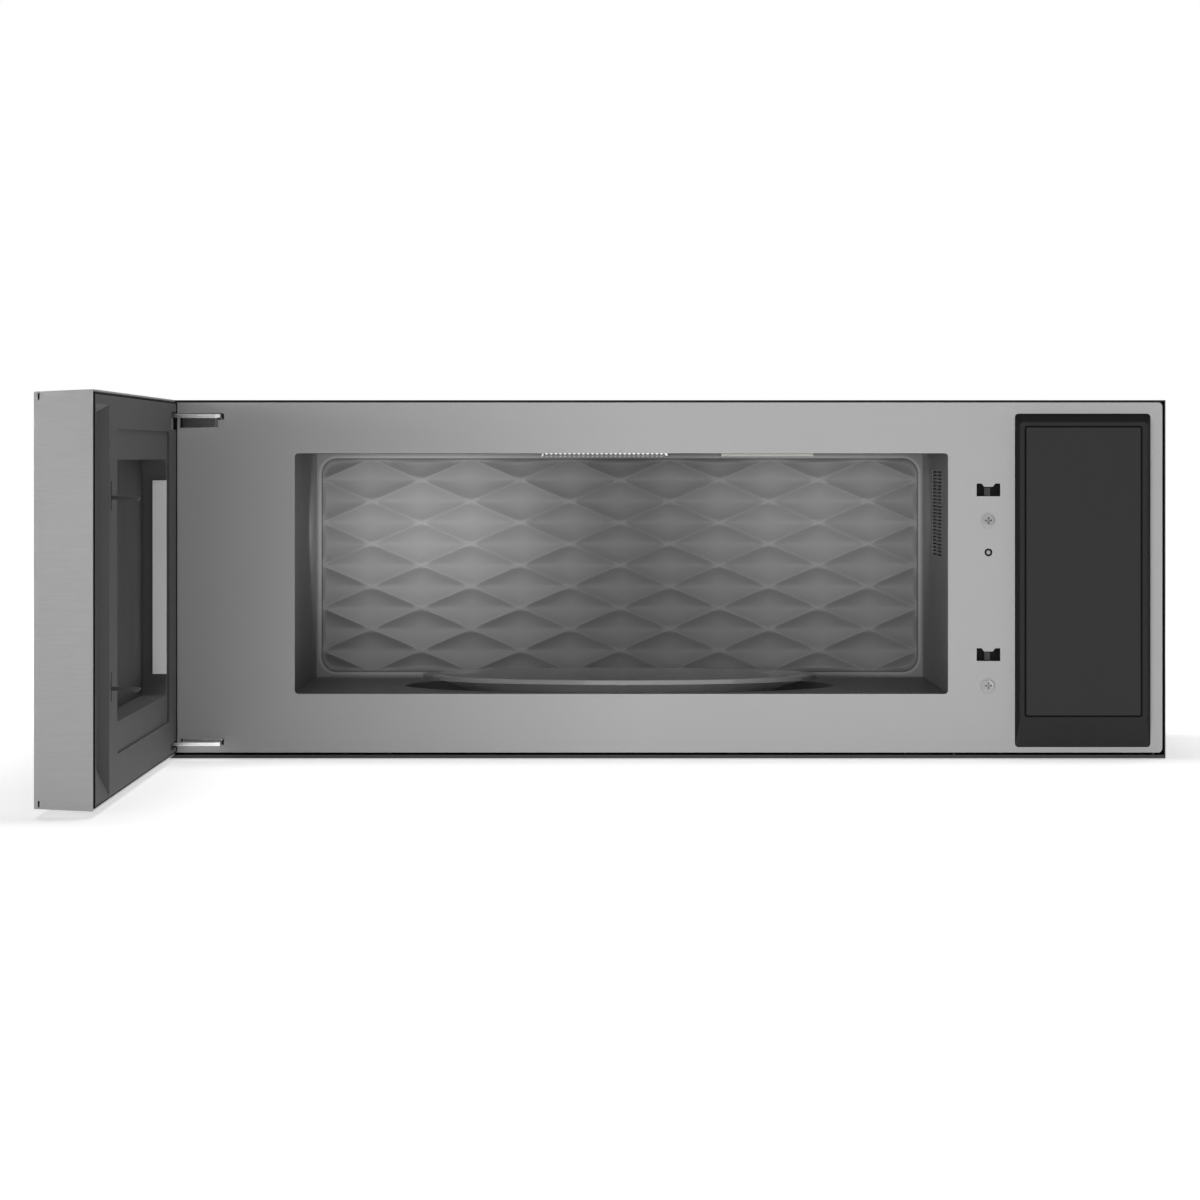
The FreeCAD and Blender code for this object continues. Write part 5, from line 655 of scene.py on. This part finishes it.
class MICROWAVE_OT_door_liner(bpy.types.Operator):
    """Finish the liner, its window and the latch that stands out of it"""
    bl_idname = "microwave.door_liner"
    bl_label = "Door liner"

    def execute(self, context):
        colours = context.scene.oven_colours
        # The recess at the free end, painted paler as painted light where it lies in shade: its depth, and where it
        # starts and stops along the door
        depth, start, stop = 0.0095, 0.003, 0.1095
        nest_light_box = (Vector((LINER_HIGH[0] - depth, LINER_LOW[1] + start, LINER_LOW[2])),
                Vector((LINER_HIGH[0] - SETBACK, LINER_LOW[1] + stop, LINER_HIGH[2])))
        resin = moulded("liner plastic", tuple(colours.liner), 0.6, grain=1100.0, depth=0.18, spread=0.03, shine=0.15,
                        zone=nest_light_box, pale=1.7)
        finish_nodes(resin, "door_liner")
        finish_nodes(polished("window sheet", grey(65), 0.45, spread=0.02, shine=0.06), "inner_window")
        finish_nodes(punched("door screen", grey(40), grey(10), pitch=0.0022, across="Y", along="Z"), "door_screen")
        finish_nodes(painted("pale strip", grey(248), 0.4), "window_edge_strip")
        finish_nodes(moulded("latch plastic", grey(60), 0.4), "latch_bar")
        finish_nodes(plated("spring wire", grey(150), 0.25), "latch_spring")
        return {"FINISHED"}


class MICROWAVE_OT_gap_shadow(bpy.types.Operator):
    """Lay a soft black bead in the gap between the door's skin and its liner: painted shade standing in for the shadow
    in that gap
    """
    bl_idname = "microwave.edge_seal"
    bl_label = "Door gap shadow"

    def execute(self, context):
        play, upright_play = 0.00012, 0.0003
        outer = (SKIN_LOW[1] + SKIN_SHEET + play, SKIN_HIGH[1] - SKIN_SHEET - play,
                 SKIN_LOW[2] + SKIN_SHEET + upright_play, SKIN_HIGH[2] - SKIN_SHEET - upright_play)
        inner = (LINER_LOW[1] - play, LINER_HIGH[1] + play, LINER_LOW[2] - play, LINER_HIGH[2] + play)
        crown, shoulder, foot = LINER_HIGH[0] - SETBACK, -0.0004, -0.003
        section = [(0.0, foot), (0.0, shoulder), (0.3, 0.0), (0.7, 0.0), (1.0, shoulder), (1.0, foot)]
        work = bmesh.new()
        rings = []
        for part, rise in section:
            low_y, high_y, low_z, high_z = (far + (near - far) * part for far, near in zip(outer, inner))
            corners = ((low_y, low_z), (high_y, low_z), (high_y, high_z), (low_y, high_z))
            rings.append([work.verts.new((crown + rise, y, z)) for y, z in corners])
        for k, ring in enumerate(rings):
            after = rings[(k + 1) % len(rings)]
            for i in range(4):
                j = (i + 1) % 4
                work.faces.new((ring[i], ring[j], after[j], after[i]))
        bmesh.ops.recalc_face_normals(work, faces=work.faces)
        mesh = bpy.data.meshes.new("door_gap_shadow")
        work.to_mesh(mesh)
        work.free()
        smooth_faces(mesh)
        # Near-black bead: painted shade in the gap
        rubber = moulded("gap shadow black", grey(9), 0.7, depth=0.2, spread=0.1, shine=0.1)
        new_piece("door_gap_shadow", mesh, rubber, "door")
        return {"FINISHED"}


class MICROWAVE_OT_ventilation(bpy.types.Operator):
    """Finish the blower, its duct and the damper"""
    bl_idname = "microwave.ventilation"
    bl_label = "Ventilation"

    def execute(self, context):
        zinc = plated("duct zinc", grey(182))
        finish_nodes(zinc, "exhaust_duct", "blower_housing")
        finish_nodes(plated("damper zinc", grey(190), 0.32), "damper_flap")
        finish_nodes(moulded("wheel plastic", grey(28), 0.5), "blower_wheel", "fan_blade")
        finish_nodes(painted("motor varnish", grey(40), 0.5), "blower_motor", "fan_motor")
        return {"FINISHED"}


class MICROWAVE_OT_supply(bpy.types.Operator):
    """Finish the microwave source and its supply"""
    bl_idname = "microwave.supply"
    bl_label = "Microwave source"

    def execute(self, context):
        zinc = plated("chassis zinc", grey(180))
        finish_nodes(zinc, "waveguide", "magnetron_yoke", "magnetron_filter_box", "component_plate", "capacitor_clamp",
                     "fan_partition")
        finish_nodes(brushed("copper", (0.6, 0.24, 0.11), (200.0, 200.0, 900.0), 0.3, spread=0.15),
                     "magnetron_anode", "transformer_winding")
        finish_nodes(brushed("laminations", grey(70), (80.0, 1800.0, 80.0), 0.5, spread=0.25, metallic=0.6),
                     "transformer_core")
        finish_nodes(brushed("drawn aluminium", grey(205), (300.0, 300.0, 20.0), 0.3, spread=0.08), "capacitor")
        finish_nodes(polished("board lacquer", BOARD_GREEN, 0.35, spread=0.2), "noise_filter_board")
        finish_nodes(moulded("cut-out plastic", grey(36), 0.4), "thermal_cutouts")
        return {"FINISHED"}


class MICROWAVE_OT_underside(bpy.types.Operator):
    """Finish the grease filters and the cooktop lamps"""
    bl_idname = "microwave.underside"
    bl_label = "Underside"

    def execute(self, context):
        finish = Finish("filter mesh")
        finish.sockets(Metallic=1.0)
        half_mesh, gain = 0.0025, 400000.0
        wires = [finish.maths("PINGPONG", finish.maths(way, finish.axis("X"), finish.axis("Y")), half_mesh)
                 for way in ("ADD", "SUBTRACT")]
        weave = finish.maths("MULTIPLY", finish.maths("MULTIPLY", *wires), gain)
        finish.colour(finish.ramp(weave, grey(205), grey(70), span=(0.1, 0.8)))
        finish.rough(finish.ramp(finish.noise(80.0), 0.3, 0.5))
        finish.bump(weave, -0.6, distance=0.0008)
        finish_nodes(finish.material, "grease_filters")
        finish = Finish("frosted lens")
        finish.sockets(Specular_IOR_Level=0.1)
        # The lens's sides are painted nearly black: painted shade where they sit in the base's opening
        finish.colour(finish.ramp(finish.maths("ABSOLUTE", finish.facing("Z")), grey(5), (0.78, 0.78, 0.76),
                                  span=(0.4, 0.6)))
        finish.rough(finish.ramp(finish.noise(40.0), 0.4, 0.55))
        finish.bump(finish.noise(700.0, detail=2.0), 0.2, distance=0.0002)
        finish_nodes(finish.material, "cooktop_lenses")
        finish_nodes(polished("lamp module", grey(225), 0.25), "cooktop_lamps")
        return {"FINISHED"}


class MICROWAVE_OT_stage(bpy.types.Operator):
    """Set the floor, the lights and the camera"""
    bl_idname = "microwave.stage"
    bl_label = "Stage"

    def floor(self, context):
        """A pale floor that glows for the camera and in glosses, more so far off."""
        work = bmesh.new()
        bmesh.ops.create_grid(work, x_segments=2, y_segments=2, size=FLOOR_HALF)
        mesh = bpy.data.meshes.new("floor")
        work.to_mesh(mesh)
        work.free()
        floor = bpy.data.objects.new("floor", mesh)
        floor.location = (0.0, 0.0, CAD_BOX[0][2] - FLOOR_GAP)
        context.collection.objects.link(floor)
        paint = bpy.data.materials.new("floor paint")
        nodes = Nodes(paint)
        matte = nodes.add("ShaderNodeBsdfDiffuse")
        matte.inputs["Color"].default_value = (0.8, 0.8, 0.8, 1.0)
        reach = nodes.add("ShaderNodeVectorMath", operation="DISTANCE")
        reach.inputs[1].default_value = (0.0, FRAME_LOW[1], 0.0)
        nodes.link(nodes.add("ShaderNodeTexCoord").outputs["Object"], reach.inputs[0])
        fade = nodes.add("ShaderNodeMapRange", interpolation_type="SMOOTHSTEP")
        near, far = 1.0, 3.2
        glow_near, glow_far, glow_mirrored = 0.48, 0.95, 0.8
        for socket, level in zip(fade.inputs[1:5], (near, far, glow_near, glow_far)):
            socket.default_value = level
        nodes.link(reach.outputs["Value"], fade.inputs["Value"])
        path = nodes.add("ShaderNodeLightPath")
        seen = nodes.maths("MULTIPLY", path.outputs["Is Camera Ray"], fade.outputs["Result"])
        mirrored = nodes.maths("MULTIPLY", path.outputs["Is Glossy Ray"], glow_mirrored)
        glow = nodes.add("ShaderNodeEmission")
        nodes.link(nodes.maths("MAXIMUM", seen, mirrored), glow.inputs["Strength"])
        both = nodes.add("ShaderNodeAddShader")
        nodes.link(matte.outputs["BSDF"], both.inputs[0])
        nodes.link(glow.outputs["Emission"], both.inputs[1])
        nodes.link(both.outputs["Shader"], nodes.add("ShaderNodeOutputMaterial").inputs["Surface"])
        mesh.materials.append(paint)

    def world(self, context):
        """Weak even light, brighter where a gloss, a glass or the camera looks past the oven."""
        world = bpy.data.worlds.new("studio")
        context.scene.world = world
        nodes = Nodes(world)
        path = nodes.add("ShaderNodeLightPath")
        level = 0.11
        for ray, strength in (("Is Glossy Ray", 0.62), ("Is Transmission Ray", 0.8), ("Is Camera Ray", 1.0)):
            level = nodes.maths("MAXIMUM", nodes.maths("MULTIPLY", path.outputs[ray], strength), level)
        light = nodes.add("ShaderNodeBackground")
        light.inputs["Color"].default_value = (1.0, 1.0, 1.0, 1.0)
        nodes.link(level, light.inputs["Strength"])
        nodes.link(light.outputs["Background"], nodes.add("ShaderNodeOutputWorld").inputs["Surface"])

    def lights(self, context):
        """Three studio lights and two strips for the cavity's own lamp."""
        middle = Vector((0.0, FRAME_LOW[1], 0.0))
        lamp_left = Vector((BACK_LOW[0] + 0.09, BACK_LOW[1] - 0.15, 0.033))
        lamp_right = Vector((BACK_HIGH[0] - 0.1, BACK_LOW[1] - 0.14, 0.045))
        strip = (0.15, 0.012)
        beyond = Vector((0.0, 1.0, 0.0))
        # Name, place, width and height, watts, what it faces, spread in degrees
        table = (
            ("left front", (-0.88, -3.6, 0.07), (1.0, 0.36), 59.0, middle, 180.0),
            ("centre", (0.1, -5.5, 0.1), (0.9, 0.6), 44.0, middle, 180.0),
            ("above", (0.0, 0.2, 3.0), (2.4, 2.0), 80.0, middle, 180.0),
            ("cavity lamp left", lamp_left, strip, 0.168, lamp_left + beyond, 104.0),
            ("cavity lamp right", lamp_right, strip, 0.085, lamp_right + beyond, 112.0),
        )
        for name, spot, size, power, target, spread in table:
            lamp = bpy.data.lights.new(name, "AREA")
            lamp.shape = "RECTANGLE"
            lamp.size, lamp.size_y = size
            lamp.energy = power
            lamp.spread = math.radians(spread)
            lit = bpy.data.objects.new(name, lamp)
            lit.location = spot
            lit.rotation_euler = (target - Vector(spot)).to_track_quat("-Z", "Y").to_euler()
            lit.visible_glossy = False
            lit.visible_camera = False
            context.collection.objects.link(lit)

    def camera(self, context):
        """A level camera, far off, with its frame shifted."""
        view = context.scene.camera_sizes
        camera = bpy.data.cameras.new("camera")
        camera.lens = view.lens
        camera.sensor_width = 36.0
        camera.shift_y = view.shift
        camera.clip_end = 100.0
        eye = bpy.data.objects.new("camera", camera)
        eye.location = (-view.aside, FRAME_LOW[1] - view.distance, view.height)
        eye.rotation_euler = (math.radians(90.0), 0.0, 0.0)
        context.collection.objects.link(eye)
        context.scene.camera = eye

    def execute(self, context):
        self.floor(context)
        self.world(context)
        self.lights(context)
        self.camera(context)
        context.scene.view_settings.view_transform = "Standard"
        return {"FINISHED"}


OPERATORS = (
    MICROWAVE_OT_cabinet,
    MICROWAVE_OT_front,
    MICROWAVE_OT_cavity,
    MICROWAVE_OT_quilt,
    MICROWAVE_OT_turntable,
    MICROWAVE_OT_controls,
    MICROWAVE_OT_hinges,
    MICROWAVE_OT_door_skin,
    MICROWAVE_OT_door_liner,
    MICROWAVE_OT_gap_shadow,
    MICROWAVE_OT_ventilation,
    MICROWAVE_OT_supply,
    MICROWAVE_OT_underside,
    MICROWAVE_OT_stage,
)


class MICROWAVE_PT_panel(bpy.types.Panel):
    """Pieces of the microwave oven and their sizes"""
    bl_idname = "MICROWAVE_PT_panel"
    bl_label = "Microwave"
    bl_space_type = "VIEW_3D"
    bl_region_type = "UI"
    bl_category = "Microwave"

    def draw(self, context):
        layout = self.layout
        for group in (context.scene.quilt_sizes, context.scene.oven_colours, context.scene.camera_sizes):
            for name in group.__annotations__:
                layout.prop(group, name)
        for operator in OPERATORS:
            layout.operator(operator.bl_idname)


GROUPS = (QuiltSizes, OvenColours, CameraSizes)


def register():
    for item in GROUPS + OPERATORS + (MICROWAVE_PT_panel,):
        bpy.utils.register_class(item)
    bpy.types.Scene.quilt_sizes = PointerProperty(type=QuiltSizes)
    bpy.types.Scene.oven_colours = PointerProperty(type=OvenColours)
    bpy.types.Scene.camera_sizes = PointerProperty(type=CameraSizes)


def unregister():
    del bpy.types.Scene.camera_sizes
    del bpy.types.Scene.oven_colours
    del bpy.types.Scene.quilt_sizes
    for item in reversed(GROUPS + OPERATORS + (MICROWAVE_PT_panel,)):
        bpy.utils.unregister_class(item)


def main():
    register()
    bpy.ops.microwave.cabinet()
    bpy.ops.microwave.front()
    bpy.ops.microwave.cavity()
    bpy.ops.microwave.quilt()
    bpy.ops.microwave.turntable()
    bpy.ops.microwave.controls()
    bpy.ops.microwave.hinges()
    bpy.ops.microwave.door_skin()
    bpy.ops.microwave.door_liner()
    bpy.ops.microwave.edge_seal()
    bpy.ops.microwave.ventilation()
    bpy.ops.microwave.supply()
    bpy.ops.microwave.underside()
    bpy.ops.microwave.stage()


if __name__ == "__main__":
    main()
